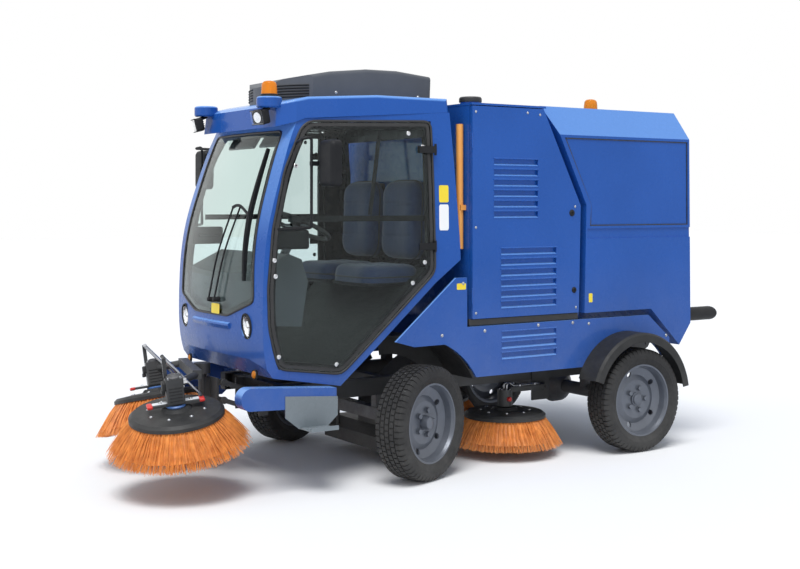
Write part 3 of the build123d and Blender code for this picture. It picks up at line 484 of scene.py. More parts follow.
def brush_ring(tip_radius, drop, seed):
    """Bristle strips in the brush's own frame, and the skirt that they merge into.

    A strip runs from root radius a to tip radius b along r = a + (b - a) * t^0.85,
    z = -drop * t, its width falling to a point, with seeded splay, length and crimp. The
    skirt is four rings with a wave for each tuft that grows towards the tips.
    """
    chance = np.random.default_rng(seed)
    strands = []
    steps = np.linspace(0, 1, JOINTS)
    for tuft in range(TUFTS):
        for strand in range(STRANDS):
            row = strand / STRANDS
            splay = chance.normal(0, SPLAY)
            root_angle = 2 * pi * (tuft + chance.uniform(-TUFT_SPREAD, TUFT_SPREAD)) / TUFTS
            root_r = ROOT_R + ROOT_BAND * row + chance.uniform(-ROOT_STRAY, ROOT_STRAY)
            tip_r = tip_radius - TIP_BAND * (1 - row) - chance.uniform(*TIP_TRIM)
            t = steps * (1 - chance.uniform(0.0, LENGTH_TRIM) * (0.4 + row))
            radius = root_r + (tip_r - root_r) * t ** REACH_POWER
            angle = root_angle + splay * t ** SPLAY_POWER + CRIMP * np.sin(9 * t + tuft)
            z = ROOT_Z - (drop + SKIRT_Z) * t - INNER_DROP * (1 - row) * t
            width = STRAND_HALF * (1 - STRAND_TAPER * t)[:, None]
            middle = np.stack([radius * np.cos(angle), radius * np.sin(angle), z], 1)
            tangent = np.stack([-np.sin(angle), np.cos(angle), np.zeros(JOINTS)], 1)
            out = np.stack([np.cos(angle), np.sin(angle), STRAND_LEAN * np.ones(JOINTS)], 1)
            corners = np.stack([middle + tangent * width, middle - tangent * width,
                                middle + out * width], 1)
            strands.append((corners.reshape(-1, 3), quads(JOINTS, 3, wrap_columns=True)))
    angle = np.linspace(0, 2 * pi, 3 * TUFTS, endpoint=False)
    t = np.array([0.0, 0.25, 0.5, 0.75])[:, None]
    wave = SKIRT_WAVE * np.array([0.0, 0.4, 0.8, 1.0])[:, None] * np.cos(TUFTS * angle)
    radius = SKIRT_R + (tip_radius - SKIRT_GAP - SKIRT_R) * t + wave
    skirt = np.stack([radius * np.cos(angle), radius * np.sin(angle),
                      np.broadcast_to(SKIRT_Z - (drop - 0.02) * t, radius.shape)], 2)
    return strands + [(skirt.reshape(-1, 3), quads(4, 3 * TUFTS, wrap_columns=True))]


bristle_stuff = matter("bristle_orange", [(0.5796, 0.1656, 0.0221), (0.88, 0.3243, 0.058)],
                       rough=(0.45, 0.6), grain=(500.0, 0.1), drift=26.0,
                       dust=(0.0, 0.16, 0.35, (0.35, 0.27, 0.2)), Sheen_Weight=0.2)
for row_name, tip_radius, drop, first_seed in (("front", 0.393, 0.196, 11),
                                               ("mid", 0.365, 0.190, 13)):
    for k, (side_name, side) in enumerate(SIDES):
        centre, *axes = (front_brush_frame(side) if row_name == "front"
                         else (side_brush_hub(side), ACROSS, ALONG, UP))
        ring = [(centre + points @ np.stack(axes), faces)
                for points, faces in brush_ring(tip_radius, drop, first_seed + k)]
        piece(f"bristle_tufts_{row_name}_{side_name}", ring, bristle_stuff,
              f"brush_{row_name}_{side_name}", crease=60.0,
              replaces=[f"bristles_{row_name}_{side_name}"])


# ---- Seals and printed edge: windscreen and door glass ----
# Extruded black rubber beads bedded round each pane, and the black band printed inside
# the edge of the glass that hides the bonding.
CAB_LEVELS = np.array([
    # z, post corner x, y, rear corner x, y (metres, from the front axle)
    (0.520, 0.550, -0.800, 0.655, 0.357), (0.700, 0.556, -0.846, 0.660, 0.357),
    (0.870, 0.560, -0.863, 0.662, 0.357), (1.030, 0.560, -0.862, 0.662, 0.357),
    (1.290, 0.555, -0.846, 0.662, 0.352), (1.440, 0.550, -0.819, 0.660, 0.341),
    (1.630, 0.540, -0.765, 0.656, 0.326), (1.815, 0.525, -0.704, 0.650, 0.312),
    (1.960, 0.510, -0.645, 0.643, 0.301), (2.060, 0.500, -0.598, 0.638, 0.293)])
POST_FACE, SCREEN_BULGE, SCREEN_SET_BACK = 0.084, 0.038, 0.012
SEAL = [(-0.004, -0.0065), (0.002, -0.006), (0.0048, -0.003), (0.0054, 0.0), (0.0048, 0.003),
        (0.002, 0.006), (-0.004, 0.0065)]
SEAL_PROUD, OUTLINE_STEP = 0.0015, 0.02
SCREEN_EDGE = [(-0.474, 1.010), (-0.215, 0.922), (0.215, 0.922), (0.474, 1.010),
               (0.452, 1.400), (0.416, 1.935), (-0.416, 1.935), (-0.452, 1.400)]
DOOR_EDGE = [(-0.770, 0.652), (-0.398, 0.604), (0.186, 1.148), (0.172, 2.008), (-0.560, 1.990),
             (-0.612, 1.950), (-0.722, 1.718), (-0.802, 1.400), (-0.834, 1.081), (-0.828, 0.870)]


def level_values(z):
    """Post and rear corners at any height, on a cubic through the table's levels."""
    z = np.atleast_1d(np.asarray(z, float))
    table_z, table = CAB_LEVELS[:, 0], CAB_LEVELS[:, 1:]
    slope = np.gradient(table, table_z, axis=0)
    k = np.clip(np.searchsorted(table_z, z) - 1, 0, len(table_z) - 2)
    gap = (table_z[k + 1] - table_z[k])[:, None]
    t = (z - table_z[k])[:, None] / gap
    return ((2 * t ** 3 - 3 * t ** 2 + 1) * table[k] + (t ** 3 - 2 * t ** 2 + t) * gap * slope[k]
            + (3 * t ** 2 - 2 * t ** 3) * table[k + 1] + (t ** 3 - t ** 2) * gap * slope[k + 1])


def screen_point(x, z, proud=0.0):
    """Points on the windscreen: circle through both post edges and the middle bulge."""
    x, z = np.atleast_1d(x).astype(float), np.atleast_1d(z).astype(float)
    level = level_values(z)
    half = level[:, 0] - POST_FACE
    radius = (half ** 2 + SCREEN_BULGE ** 2) / (2 * SCREEN_BULGE)
    y = (level[:, 1] - SCREEN_SET_BACK - SCREEN_BULGE + radius
         - np.sqrt(np.maximum(radius ** 2 - x ** 2, 0)))
    return np.stack([x, y + AXLE_Y - proud, z], 1)


def door_point(y, z, proud=0.0, side=1):
    """Points on the door skin, on the straight run from post to rear corner."""
    y, z = np.atleast_1d(y).astype(float), np.atleast_1d(z).astype(float)
    level = level_values(z)
    share = (y - level[:, 1]) / (level[:, 3] - level[:, 1])
    x = level[:, 0] + (level[:, 2] - level[:, 0]) * share
    return np.stack([side * (x + proud), y + AXLE_Y, z], 1)


def rounded(corners, radius, steps=6):
    """A closed outline with each corner turned on a quadratic arc of about that radius."""
    corners = np.asarray(corners, float)
    t = np.linspace(0, 1, steps)[:, None]
    made = []
    for before, here, after in zip(np.roll(corners, 1, 0), corners, np.roll(corners, -1, 0)):
        first, last = (here + (far - here) * min(radius / np.linalg.norm(far - here), 0.45)
                       for far in (before, after))
        made.append((1 - t) ** 2 * first + 2 * t * (1 - t) * here + t ** 2 * last)
    return np.vstack(made)


def resample(path, spacing, closed=False):
    """Points at even spacing along a polyline."""
    path = np.asarray(path, float)
    if closed:
        path = np.vstack([path, path[:1]])
    run = np.r_[0, np.cumsum(np.linalg.norm(np.diff(path, axis=0), axis=1))]
    count = max(3, int(round(run[-1] / spacing)) + (0 if closed else 1))
    where = np.linspace(0, run[-1], count, endpoint=not closed)
    return np.stack([np.interp(where, run, column) for column in path.T], 1)


def sweep(path, section, closed=False, normal=None):
    """A section (n, 2) carried along a 3-D path with a frame that doesn't twist.

    normal: directions (one per point or one for all) that the section's first axis keeps to.
    """
    path, section = np.asarray(path, float), np.asarray(section, float)
    tangent = (np.roll(path, -1, 0) - np.roll(path, 1, 0) if closed
               else np.gradient(path, axis=0))
    tangent /= np.linalg.norm(tangent, axis=1)[:, None]
    if normal is None:
        guide = UP if abs(tangent[0, 2]) < 0.9 else ACROSS
        first = []
        for t in tangent:
            guide = guide - t * (guide @ t)
            guide = guide / np.linalg.norm(guide)
            first.append(guide)
        first = np.array(first)
    else:
        first = np.broadcast_to(np.asarray(normal, float), path.shape)
        first = first - tangent * np.sum(first * tangent, 1)[:, None]
        first = first / np.linalg.norm(first, axis=1)[:, None]
    second = np.cross(tangent, first)
    grid = (path[:, None] + section[None, :, 0, None] * first[:, None]
            + section[None, :, 1, None] * second[:, None])
    return tube_faces(grid, closed)


def tube_faces(grid, closed=False):
    """Points and faces of rings (rows, columns, 3), with both end rings filled."""
    rows, columns = grid.shape[:2]
    faces = quads(rows, columns, wrap_rows=closed, wrap_columns=True).tolist()
    if not closed:
        faces += [list(range(columns))[::-1], list(range((rows - 1) * columns, rows * columns))]
    return grid.reshape(-1, 3), faces


def circle(radius, sides=10):
    """A round section for sweep()."""
    a = np.linspace(0, 2 * pi, sides, endpoint=False)
    return np.stack([radius * np.cos(a), radius * np.sin(a)], 1)


def flat_bar(low, high, half):
    """A rectangular section for sweep(): from low to high, half wide on either side."""
    return [(low, -half), (high, -half), (high, half), (low, half)]


def curve_through(points, per_span=8):
    """A Catmull-Rom line through the given points."""
    p = np.asarray(points, float)
    p = np.vstack([2 * p[0] - p[1], p, 2 * p[-1] - p[-2]])
    t = np.linspace(0, 1, per_span, endpoint=False)[:, None]
    runs = [0.5 * (2 * b + (c - a) * t + (2 * a - 5 * b + 4 * c - d) * t ** 2
                   + (3 * b - a - 3 * c + d) * t ** 3)
            for a, b, c, d in zip(p, p[1:], p[2:], p[3:])]
    return np.vstack([*runs, p[-2][None]])


def inset_line(line, gap):
    """A closed outline moved inwards by a gap along its own normals."""
    run = np.roll(line, -1, 0) - np.roll(line, 1, 0)
    run /= np.linalg.norm(run, axis=1)[:, None]
    normal = np.stack([-run[:, 1], run[:, 0]], 1)
    area = np.sum(line[:, 0] * np.roll(line[:, 1], -1) - np.roll(line[:, 0], -1) * line[:, 1])
    return line + normal * gap * np.sign(area)


def edge_band(line, place, inner, outer, lift, thick):
    """A flat printed band between two insets of an outline, with a little thickness."""
    near, far = inset_line(line, outer), inset_line(line, inner)
    grid = np.stack([place(near, lift), place(far, lift), place(far, lift - thick),
                     place(near, lift - thick)], 1)
    return grid.reshape(-1, 3), quads(len(line), 4, wrap_rows=True, wrap_columns=True)


seal_rubber = matter("seal_rubber", [(0.0138, 0.0138, 0.0152), (0.0235, 0.0235, 0.0248)],
                     rough=(0.4, 0.55), grain=(350.0, 0.08), drift=14.0)
screen_line = resample(rounded(SCREEN_EDGE, 0.030), OUTLINE_STEP, closed=True)
door_line = resample(rounded(DOOR_EDGE, 0.045), OUTLINE_STEP, closed=True)
piece("screen_seal", sweep(screen_point(*screen_line.T, SEAL_PROUD), SEAL, closed=True,
                           normal=-ALONG), seal_rubber)
piece("screen_band", edge_band(screen_line, lambda p, lift: screen_point(*p.T, lift),
                               0.030, 0.004, -0.0075, 0.0008),
      seal_rubber)
for side_name, side in SIDES:
    piece(f"door_seal_{side_name}",
          sweep(door_point(*door_line.T, SEAL_PROUD, side), SEAL, closed=True,
                normal=side * ACROSS), seal_rubber)
    piece(f"door_band_{side_name}",
          edge_band(inset_line(door_line, 0.008), lambda p, lift: door_point(*p.T, lift, side),
                    0.022, 0.003, 0.0009, 0.0007), seal_rubber, f"door_{side_name}")

# ---- Door fittings: stainless through-bolts, latch case, inner rail ----
# The pane is held by round through-bolted discs at its edge; a moulded black latch case
# sits inside the lower front, and a flat grab rail and a glazing bar cross the pane inside.
DOOR_DISCS = [(-0.655, 1.742), (0.030, 1.935), (0.118, 1.860), (0.118, 1.205), (0.040, 1.090),
              (-0.795, 1.235), (-0.790, 1.150), (-0.770, 0.720), (-0.430, 0.660)]
DISC = [(-0.001, 0.0125), (0.003, 0.0125), (0.0046, 0.0105), (0.0050, 0.0055),
        (0.0030, 0.0045), (0.0028, 0.0)]
RAIL_FROM, RAIL_TO, RAIL_INSIDE = (-0.700, 1.455), (0.130, 1.455), -0.022
GLAZING_BAR_FROM, GLAZING_BAR_TO, GLAZING_BAR_INSIDE = (-0.135, 1.955), (-0.215, 1.475), -0.020
LATCH_AT, LATCH_SIZE, LATCH_INSIDE, LATCH_PULL_INSIDE = ((-0.690, 1.345),
                                                         (0.040, 0.210, 0.105), 0.028, 0.052)


def door_frame_at(y, z, side):
    """Origin and axes (outwards, along, up) on the door skin."""
    spot, ahead, above = door_point([y, y + 0.02, y], [z, z, z + 0.02], 0.0, side)
    out = np.cross(ahead - spot, above - spot) * side
    out /= np.linalg.norm(out) * np.sign(out[0] * side)
    ahead = (ahead - spot) / np.linalg.norm(ahead - spot)
    return spot, out, ahead, np.cross(out, ahead)


def moved(axes, *shift):
    """A frame moved by lengths along its own axes."""
    return (axes[0] + sum(step * axis for step, axis in zip(shift, axes[1:])), *axes[1:])


def rounded_box(axes, lengths, radius, steps=5):
    """A box about a frame: lengths along its three axes, corners of that radius.

    Its rings are rounded rectangles across the first axis; their scale follows a quarter
    circle in towards both ends.
    """
    centre, first, second, third = axes
    la, lb, lc = np.asarray(lengths, float) / 2
    turn = np.linspace(0, pi / 2, steps)
    flat = np.vstack([np.stack([right * (lb - radius) + radius * np.cos(start + turn),
                                high * (lc - radius) + radius * np.sin(start + turn)], 1)
                      for right, high, start in ((1, 1, 0), (-1, 1, pi / 2), (-1, -1, pi),
                                                 (1, -1, 1.5 * pi))])
    along = -la + radius - radius * np.cos(turn)
    shrink = radius * (1 - np.sin(turn))
    along, shrink = np.r_[along, -along[::-1]], np.r_[shrink, shrink[::-1]]
    ring = flat * np.stack([(lb - shrink) / lb, (lc - shrink) / lc], 1)[:, None]
    return tube_faces(centre + along[:, None, None] * first + ring[..., :1] * second
                      + ring[..., 1:] * third)


for side_name, side in SIDES:
    piece(f"door_discs_{side_name}",
          [turned(DISC, 28, door_frame_at(y, z, side)) for y, z in DOOR_DISCS], chrome,
          f"door_{side_name}")
    rail, glazing_bar = (door_point(*np.linspace(start, end, count).T, inside, side)
                         for start, end, count, inside in
                         ((RAIL_FROM, RAIL_TO, 12, RAIL_INSIDE),
                          (GLAZING_BAR_FROM, GLAZING_BAR_TO, 10, GLAZING_BAR_INSIDE)))
    latch = door_frame_at(*LATCH_AT, side)
    pull = (moved(latch, -LATCH_PULL_INSIDE)[0]
            + np.linspace(-0.07, 0.07, 6)[:, None] * latch[2])
    piece(f"door_inner_{side_name}",
          [sweep(rail, flat_bar(-0.005, 0.005, 0.016), normal=side * ACROSS),
           sweep(glazing_bar, flat_bar(-0.004, 0.004, 0.011), normal=side * ACROSS),
           rounded_box(moved(latch, -LATCH_INSIDE), LATCH_SIZE, 0.014),
           sweep(pull, circle(0.009, 12))], black_plastic, f"door_{side_name}")

# ---- Lamps: two round headlamps and two work lamps ----
# Headlamp: chromed bowl and bulb behind a fluted lens, in a black bezel sunk in the nose.
# Work lamp: square black case with a clear front, hung under the roof's front edge.
HEADLAMP_X, HEADLAMP_Y, HEADLAMP_Z, HEADLAMP_OVAL = 0.407, -0.872, 0.878, 0.735
HEADLAMP_LOOK, HEADLAMP_ROLL = (0, -0.9945, -0.1045), 0.139
BEZEL = [(-0.012, 0.0695), (0.013, 0.0705), (0.017, 0.0690), (0.0175, 0.0650),
         (0.010, 0.0620), (-0.002, 0.0600), (-0.010, 0.0580)]
BOWL = [(-0.0130, 0.0), (-0.0125, 0.018), (-0.009, 0.036), (-0.002, 0.050), (0.006, 0.0600)]
BULB = [(-0.012, 0.014), (0.002, 0.013), (0.006, 0.008), (0.007, 0.0)]
LENS = np.array([(0.0085, 0.0615), (0.0120, 0.0590), (0.0145, 0.0450), (0.0160, 0.0250),
                 (0.0165, 0.0)])
LENS_STEPS, LENS_FLUTES, FLUTE_DEPTH, PLAIN_MIDDLE = 72, 18, 0.0007, 0.02
WORK_LAMP_X, WORK_LAMP_Y, WORK_LAMP_Z = 0.414, -0.806, 2.008
WORK_LAMP_LOOK, BRACKET_Y, BRACKET_Z, STEM_R = (0.242, -0.9415, -0.2347), -0.752, 2.060, 0.011
CASE_SIZE, CASE_PEAK_SIZE, CASE_FIN_SIZE = ((0.048, 0.100, 0.080), (0.014, 0.098, 0.004),
                                            (0.008, 0.080, 0.0035))
CASE_PEAK_Z, CASE_FIN_Z, CASE_FINS, WORK_LENS_SIZE = 0.038, 0.026, 5, (0.005, 0.090, 0.072)
WORK_BOWL = [(0.0185, 0.0), (0.0190, 0.014), (0.0212, 0.029)]


def facing(centre, look, up=UP):
    """A frame (centre, look, side, up) for turned() and box-like pieces."""
    look = np.asarray(look, float) / np.linalg.norm(look)
    side = np.cross(np.asarray(up, float), look)
    side /= np.linalg.norm(side)
    return np.asarray(centre, float), look, side, np.cross(look, side)


def flutes(steps, count, depth):
    """Depth of a ribbed wall at each step round it: a cosine with one wave for each flute."""
    return depth * np.cos(np.arange(steps) * 2 * pi * count / steps)


lamp_glow = matter("lamp_reflector", [(0.78, 0.79, 0.8), (0.9, 0.9, 0.9)], rough=(0.08, 0.2),
                   grain=(90.0, 0.2), drift=40.0, Metallic=1.0)
for side_name, side in SIDES:
    round_place = facing((side * HEADLAMP_X, HEADLAMP_Y + AXLE_Y, HEADLAMP_Z), HEADLAMP_LOOK,
                         up=(-side * HEADLAMP_ROLL, 0, 1))
    centre, look, across, above = round_place
    oval = (centre, look, across * HEADLAMP_OVAL, above)
    piece(f"headlamp_bezel_{side_name}", turned(BEZEL, 48, oval), black_plastic,
          replaces=["front_lamps"])
    piece(f"headlamp_bowl_{side_name}", [turned(BOWL, 48, oval), turned(BULB, 20, round_place)],
          lamp_glow, "chassis")
    lens, faces = turned(LENS, LENS_STEPS, oval)
    flute = np.outer(flutes(LENS_STEPS, LENS_FLUTES, FLUTE_DEPTH), LENS[:, 1] > PLAIN_MIDDLE)
    piece(f"headlamp_lens_{side_name}", (lens + flute.reshape(-1, 1) * look, faces), clear_lens,
          "chassis")

    lamp = facing((side * WORK_LAMP_X, WORK_LAMP_Y + AXLE_Y, WORK_LAMP_Z),
                  np.array(WORK_LAMP_LOOK) * (side, 1, 1))
    hood = [rounded_box(moved(lamp, -0.006), CASE_SIZE, 0.012)]
    hood += [rounded_box(moved(lamp, 0.021, 0, lift), CASE_PEAK_SIZE, 0.0018, 3)
             for lift in (-CASE_PEAK_Z, CASE_PEAK_Z)]
    hood += [rounded_box(moved(lamp, -0.0305, 0, lift), CASE_FIN_SIZE, 0.0014, 3)
             for lift in np.linspace(-CASE_FIN_Z, CASE_FIN_Z, CASE_FINS)]
    stem = [moved(lamp, -0.014, 0, 0.030)[0], (side * WORK_LAMP_X, BRACKET_Y + AXLE_Y, BRACKET_Z)]
    hood.append(sweep(stem, circle(STEM_R, 14)))
    piece(f"work_lamp_case_{side_name}", hood, black_plastic)
    piece(f"work_lamp_bowl_{side_name}", turned(WORK_BOWL, 32, lamp), lamp_glow, "chassis")
    piece(f"work_lamp_lens_{side_name}",
          rounded_box(moved(lamp, 0.0245), WORK_LENS_SIZE, 0.0022, 4), clear_lens,
          "chassis")

# ---- Beacons: fluted amber domes over a rotating reflector, on black feet ----
# Moulded polycarbonate, ribbed inside; one on the cab's front corner and one on the hopper.
BEACONS = (
    # beacon, body, foot x, y, z, height of the dome
    ("front", "chassis", 0.414, -0.752, 2.1202, 0.0875),
    ("rear", "hopper", 0.430, 1.560, 2.132, 0.080))
BEACON_FOOT = [(0.0, 0.0), (0.0, 0.047), (0.006, 0.0475), (0.012, 0.0455), (0.015, 0.043),
               (0.0155, 0.0)]
BEACON_BULB = [(0.012, 0.012), (0.030, 0.012), (0.044, 0.009), (0.050, 0.0)]
DOME_STEPS, DOME_FLUTES, DOME_WAVE = 96, 24, 0.012
for name, body, x, y, z, height in BEACONS:
    place = facing((x, y + AXLE_Y, z), UP, up=ALONG)
    piece(f"beacon_foot_{name}", turned(BEACON_FOOT, 40, place), black_plastic, body)
    levels = np.array([(0.014, 0.0430), (0.022, 0.0435), (0.040, 0.0425), (height - 0.020, 0.040),
                       (height - 0.010, 0.036), (height - 0.003, 0.026), (height - 0.0005, 0.012),
                       (height, 0.0)])
    dome, faces = turned(levels, DOME_STEPS, place)
    dome = dome.reshape(DOME_STEPS, len(levels), 3)
    axis_part = place[0] + levels[None, :, :1] * place[1]
    swell = 1 + flutes(DOME_STEPS, DOME_FLUTES, DOME_WAVE)[:, None, None]
    dome = axis_part + (dome - axis_part) * swell
    piece(f"beacon_dome_{name}", (dome.reshape(-1, 3), faces), amber_lens, body,
          replaces=[f"{name}_beacon"])
    piece(f"beacon_lamp_{name}", turned(BEACON_BULB, 20, place), lamp_glow, body)

# ---- Wiper: pantograph arm and one long blade, parked upright by the near post ----
# Two black powder-coated rods run from spindles on the scuttle to a bracket on the blade's
# carrier; the rubber lip lies on the glass.
ROD_R, ARM_RODS = 0.0052, [((0.045, 1.000), (0.213, 1.520)), ((0.114, 1.004), (0.287, 1.520))]
BRACKET_RUN = [(0.205, 1.515), (0.250, 1.528), (0.300, 1.520), (0.383, 1.480)]
BLADE_RUN = [(0.400, 1.121), (0.395, 1.300), (0.385, 1.480), (0.377, 1.660), (0.366, 1.838)]
SPINDLE = [(-0.004, 0.015), (0.026, 0.014), (0.036, 0.011), (0.038, 0.0)]
ROD_LIFT, ROD_BOW, CARRIER_LIFT, CARRIER_BOW, LIP_LIFT = 0.030, 0.018, 0.020, 0.010, 0.008
wiper = []
for foot, tip in ARM_RODS:
    low, high = screen_point(*np.transpose([foot, tip]), ROD_LIFT)
    wiper += [sweep(curve_through([low, (low + high) / 2 - ROD_BOW * ALONG, high], 10),
                    circle(ROD_R, 10)),
              turned(SPINDLE, 20, facing(screen_point(*foot)[0], (0, -1, 0.08)))]
wiper.append(sweep(curve_through(screen_point(*np.transpose(BRACKET_RUN), ROD_LIFT), 6),
                   flat_bar(-0.003, 0.003, 0.008), normal=-ALONG))
bow = curve_through(screen_point(*np.transpose(BLADE_RUN), CARRIER_LIFT))
bow -= CARRIER_BOW * np.sin(np.linspace(0, pi, len(bow)))[:, None] * ALONG
lip = curve_through(screen_point(*np.transpose(BLADE_RUN), LIP_LIFT))
for run, section in ((bow, [(-0.003, -0.006), (0.005, -0.004), (0.005, 0.004),
                            (-0.003, 0.006)]),
                     (lip, [(-0.007, -0.0016), (0.014, -0.004), (0.014, 0.004),
                            (-0.007, 0.0016)])):
    wiper.append(sweep(run, section, normal=-ALONG))
piece("wiper", wiper, black_plastic)

# ---- Mirrors: silvered panes and clamp screws on the moulded heads ----
# Ground glass bedded in the rear face of each black nylon head; two screws hold the clamp.
MIRROR_X, MIRROR_Y, MIRROR_Z = 0.801, -0.566, 1.7505
PANE_HALF_WIDE, PANE_HALF_HIGH, PANE_LIFT = 0.072, 0.1155, 0.0022
CLAMP_X, CLAMP_Y, CLAMP_LEVELS = 0.711, -0.658, (1.743, 1.757)
CLAMP_SCREW = [(0.0, 0.005), (0.003, 0.005), (0.004, 0.003), (0.004, 0.0)]
mirror_glass = matter("mirror_glass", [(0.80, 0.82, 0.84), (0.84, 0.86, 0.88)],
                      rough=(0.01, 0.03), grain=(50.0, 0.0), drift=6.0, Metallic=1.0)
outline = rounded([(x * PANE_HALF_WIDE, z * PANE_HALF_HIGH)
                   for x, z in ((-1, -1), (1, -1), (1, 1), (-1, 1))], 0.030, 8)
for side_name, side in SIDES:
    place = facing((side * MIRROR_X, MIRROR_Y + AXLE_Y, MIRROR_Z), ALONG)
    path = place[0] + outline[:, :1] * place[2] + outline[:, 1:] * place[3]
    rim = [sweep(path, [(-0.001, -0.003), (0.004, -0.002), (0.004, 0.002), (-0.001, 0.003)],
                 closed=True, normal=ALONG)]
    rim += [turned(CLAMP_SCREW, 6, facing((side * CLAMP_X, CLAMP_Y + AXLE_Y, z), -ALONG))
            for z in CLAMP_LEVELS]
    piece(f"mirror_rim_{side_name}", rim, black_plastic, f"door_{side_name}")
    piece(f"mirror_pane_{side_name}",
          (path + PANE_LIFT * place[1], [list(range(len(path)))[::-1]]), mirror_glass,
          f"door_{side_name}")

# ---- Seats: two foam cushions and backs in woven dark blue cloth, piped at the edge ----
# Each pad is a rounded slab whose face swells a little and sags where it is sat on; three
# sewn channels run across it and a cord of the same cloth is sewn into the seam.
SEATS = {
    # pad: centre x, y, z of its base, along, outwards, (width, length, thickness), seed
    "cushion": (0.230, 0.048, 1.082, ALONG, UP, (0.420, 0.395, 0.105), 31),
    "back": (0.235, 0.275, 1.440, np.array([0, 0.04, 0.9992]), np.array([0, -0.9992, 0.04]),
             (0.375, 0.470, 0.098), 33),
}
PAD_COLUMNS, PAD_ROWS, PAD_CORNER = 64, 72, 0.06
SAG, CHANNELS, CHANNEL_DEPTH, CHANNEL_WIDTH = 0.014, (-0.42, 0.0, 0.42), 0.007, 0.035
CREASES, CREASE_DEPTH, SEAM_HEIGHT, PIPING_R = 9, 0.0010, 0.29, 0.0042
BACK_TRAY, BACK_TRAY_SIZE = (0.235, 0.288, 1.440), (0.026, 0.350, 0.450)
BASE_TRAY, BASE_TRAY_SIZE = (0.230, 0.048, 1.071), (0.022, 0.400, 0.375)
BAR_APART, BAR_R = 0.12, 0.011
BAR_RUN = [(0.150, 1.072), (0.262, 1.09), (0.292, 1.190), (0.292, 1.30)]
seat_cloth = matter("seat_cloth", [(0.0166, 0.0331, 0.0966), (0.0304, 0.0524, 0.138)],
                    rough=(0.85, 0.95), grain=(900.0, 0.5), drift=30.0, Sheen_Weight=0.4)
seat_piping = matter("seat_piping", [(0.0166, 0.0166, 0.0179), (0.0276, 0.0276, 0.0304)],
                     rough=(0.6, 0.7), grain=(700.0, 0.3), drift=20.0, Sheen_Weight=0.2)


def slab(top, low):
    """A closed slab between two grids (rows, columns, 3); also the index line of its rim."""
    rows, columns = top.shape[:2]
    count = rows * columns
    index = np.arange(count).reshape(rows, columns)
    rim = np.r_[index[:-1, 0], index[-1, :-1], index[:0:-1, -1], index[0, :0:-1]]
    after = np.roll(rim, -1)
    lid = quads(rows, columns)
    faces = np.vstack([lid, lid[:, ::-1] + count,
                       np.stack([after, rim, rim + count, after + count], 1)])
    return np.vstack([top.reshape(-1, 3), low.reshape(-1, 3)]), faces, rim


def seat_pad(width, length, thick, seed):
    """A padded slab: x across, y along, z up from its base; and its seam line.

    The face rises as the root of (1 - |u|^7)(1 - |v|^7), less a sag in the middle and three
    sewn channels, each a bell curve, and seeded creases of 1 mm.
    """
    chance = np.random.default_rng(seed)
    u, v = np.meshgrid(np.linspace(-1, 1, PAD_COLUMNS), np.linspace(-1, 1, PAD_ROWS),
                       indexing="ij")
    power = width / PAD_CORNER / 1.4 + 2
    x = u * width / 2 * (1 - 0.16 * np.abs(v) ** power) * (1 - 0.02 * np.cos(pi * v))
    y = v * length / 2 * (1 - 0.14 * np.abs(u) ** power)
    face = thick * (0.30 + 0.70 * ((1 - np.abs(u) ** 7) * (1 - np.abs(v) ** 7)) ** 0.5)
    face -= SAG * np.exp(-(u * 1.6) ** 2 - (v * 1.5) ** 2)
    for channel in CHANNELS:
        face -= (CHANNEL_DEPTH * np.exp(-((v - channel) / CHANNEL_WIDTH) ** 2)
                 * (np.abs(u) < 0.82))
    for _ in range(CREASES):
        a, b = chance.uniform(-0.9, 0.9, 2)
        way = chance.uniform(0, pi)
        off = (u - a) * cos(way) + (v - b) * sin(way)
        span = (u - a) * sin(way) - (v - b) * cos(way)
        face -= CREASE_DEPTH * np.exp(-(off / 0.03) ** 2 - (span / 0.35) ** 2)
    points, faces, rim = slab(np.stack([x, y, face], 2), np.stack([x, y, np.zeros_like(x)], 2))
    return points, faces, points[rim[::3]] * (1, 1, 0) + thick * SEAM_HEIGHT * UP


def at(side, spot):
    """A point of the left side, given from the front axle, on either side of the vehicle."""
    x, y, z = spot
    return np.array([side * x, y + AXLE_Y, z])


for side_name, side in SIDES:
    for pad, (*spot, along, outwards, size, seed) in SEATS.items():
        axes = np.stack([ACROSS, along, outwards])
        grid, faces, seam = seat_pad(*size, seed + side)
        soft = piece(f"seat_{pad}_{side_name}", (at(side, spot) + grid @ axes, faces),
                     seat_cloth, "chassis", crease=60.0, replaces=["seats"])
        piece(f"seat_{pad}_piping_{side_name}",
              sweep(at(side, spot) + seam @ axes, circle(PIPING_R, 8), closed=True),
              seat_piping, "chassis")
    shell = [rounded_box((at(side, BACK_TRAY), ALONG, ACROSS, UP), BACK_TRAY_SIZE, 0.012, 6),
             rounded_box((at(side, BASE_TRAY), UP, ACROSS, ALONG), BASE_TRAY_SIZE, 0.010, 6)]
    shell += [sweep(curve_through([at(side, (BACK_TRAY[0], y, z)) + x * ACROSS
                                   for y, z in BAR_RUN], 6), circle(BAR_R, 12))
              for x in (-BAR_APART, BAR_APART)]
    piece(f"seat_shell_{side_name}", shell, black_plastic)

# ---- Cabin lining: rubber floor mat, dark moulded panels on the inside of the shell ----
# Ribbed black rubber is laid over the sloping floor; the shell's inner faces are lined with
# vacuum-formed grey plastic, told from the painted skin by which way a face looks.
CABIN_MIDDLE, LINING_TONE, LINING_FROM = (0.0, -0.20 + AXLE_Y, 1.40), (0.018, 0.020, 0.023), 0.12
FLOOR_LINE = [(-0.790, 0.646), (-0.402, 0.582), (0.140, 1.090), (0.250, 1.162)]
MAT_GAP, MAT_THICK, MAT_LIFT, RIB_HEIGHT, RIB_STEP = 0.075, 0.008, 0.004, 0.0016, 0.012


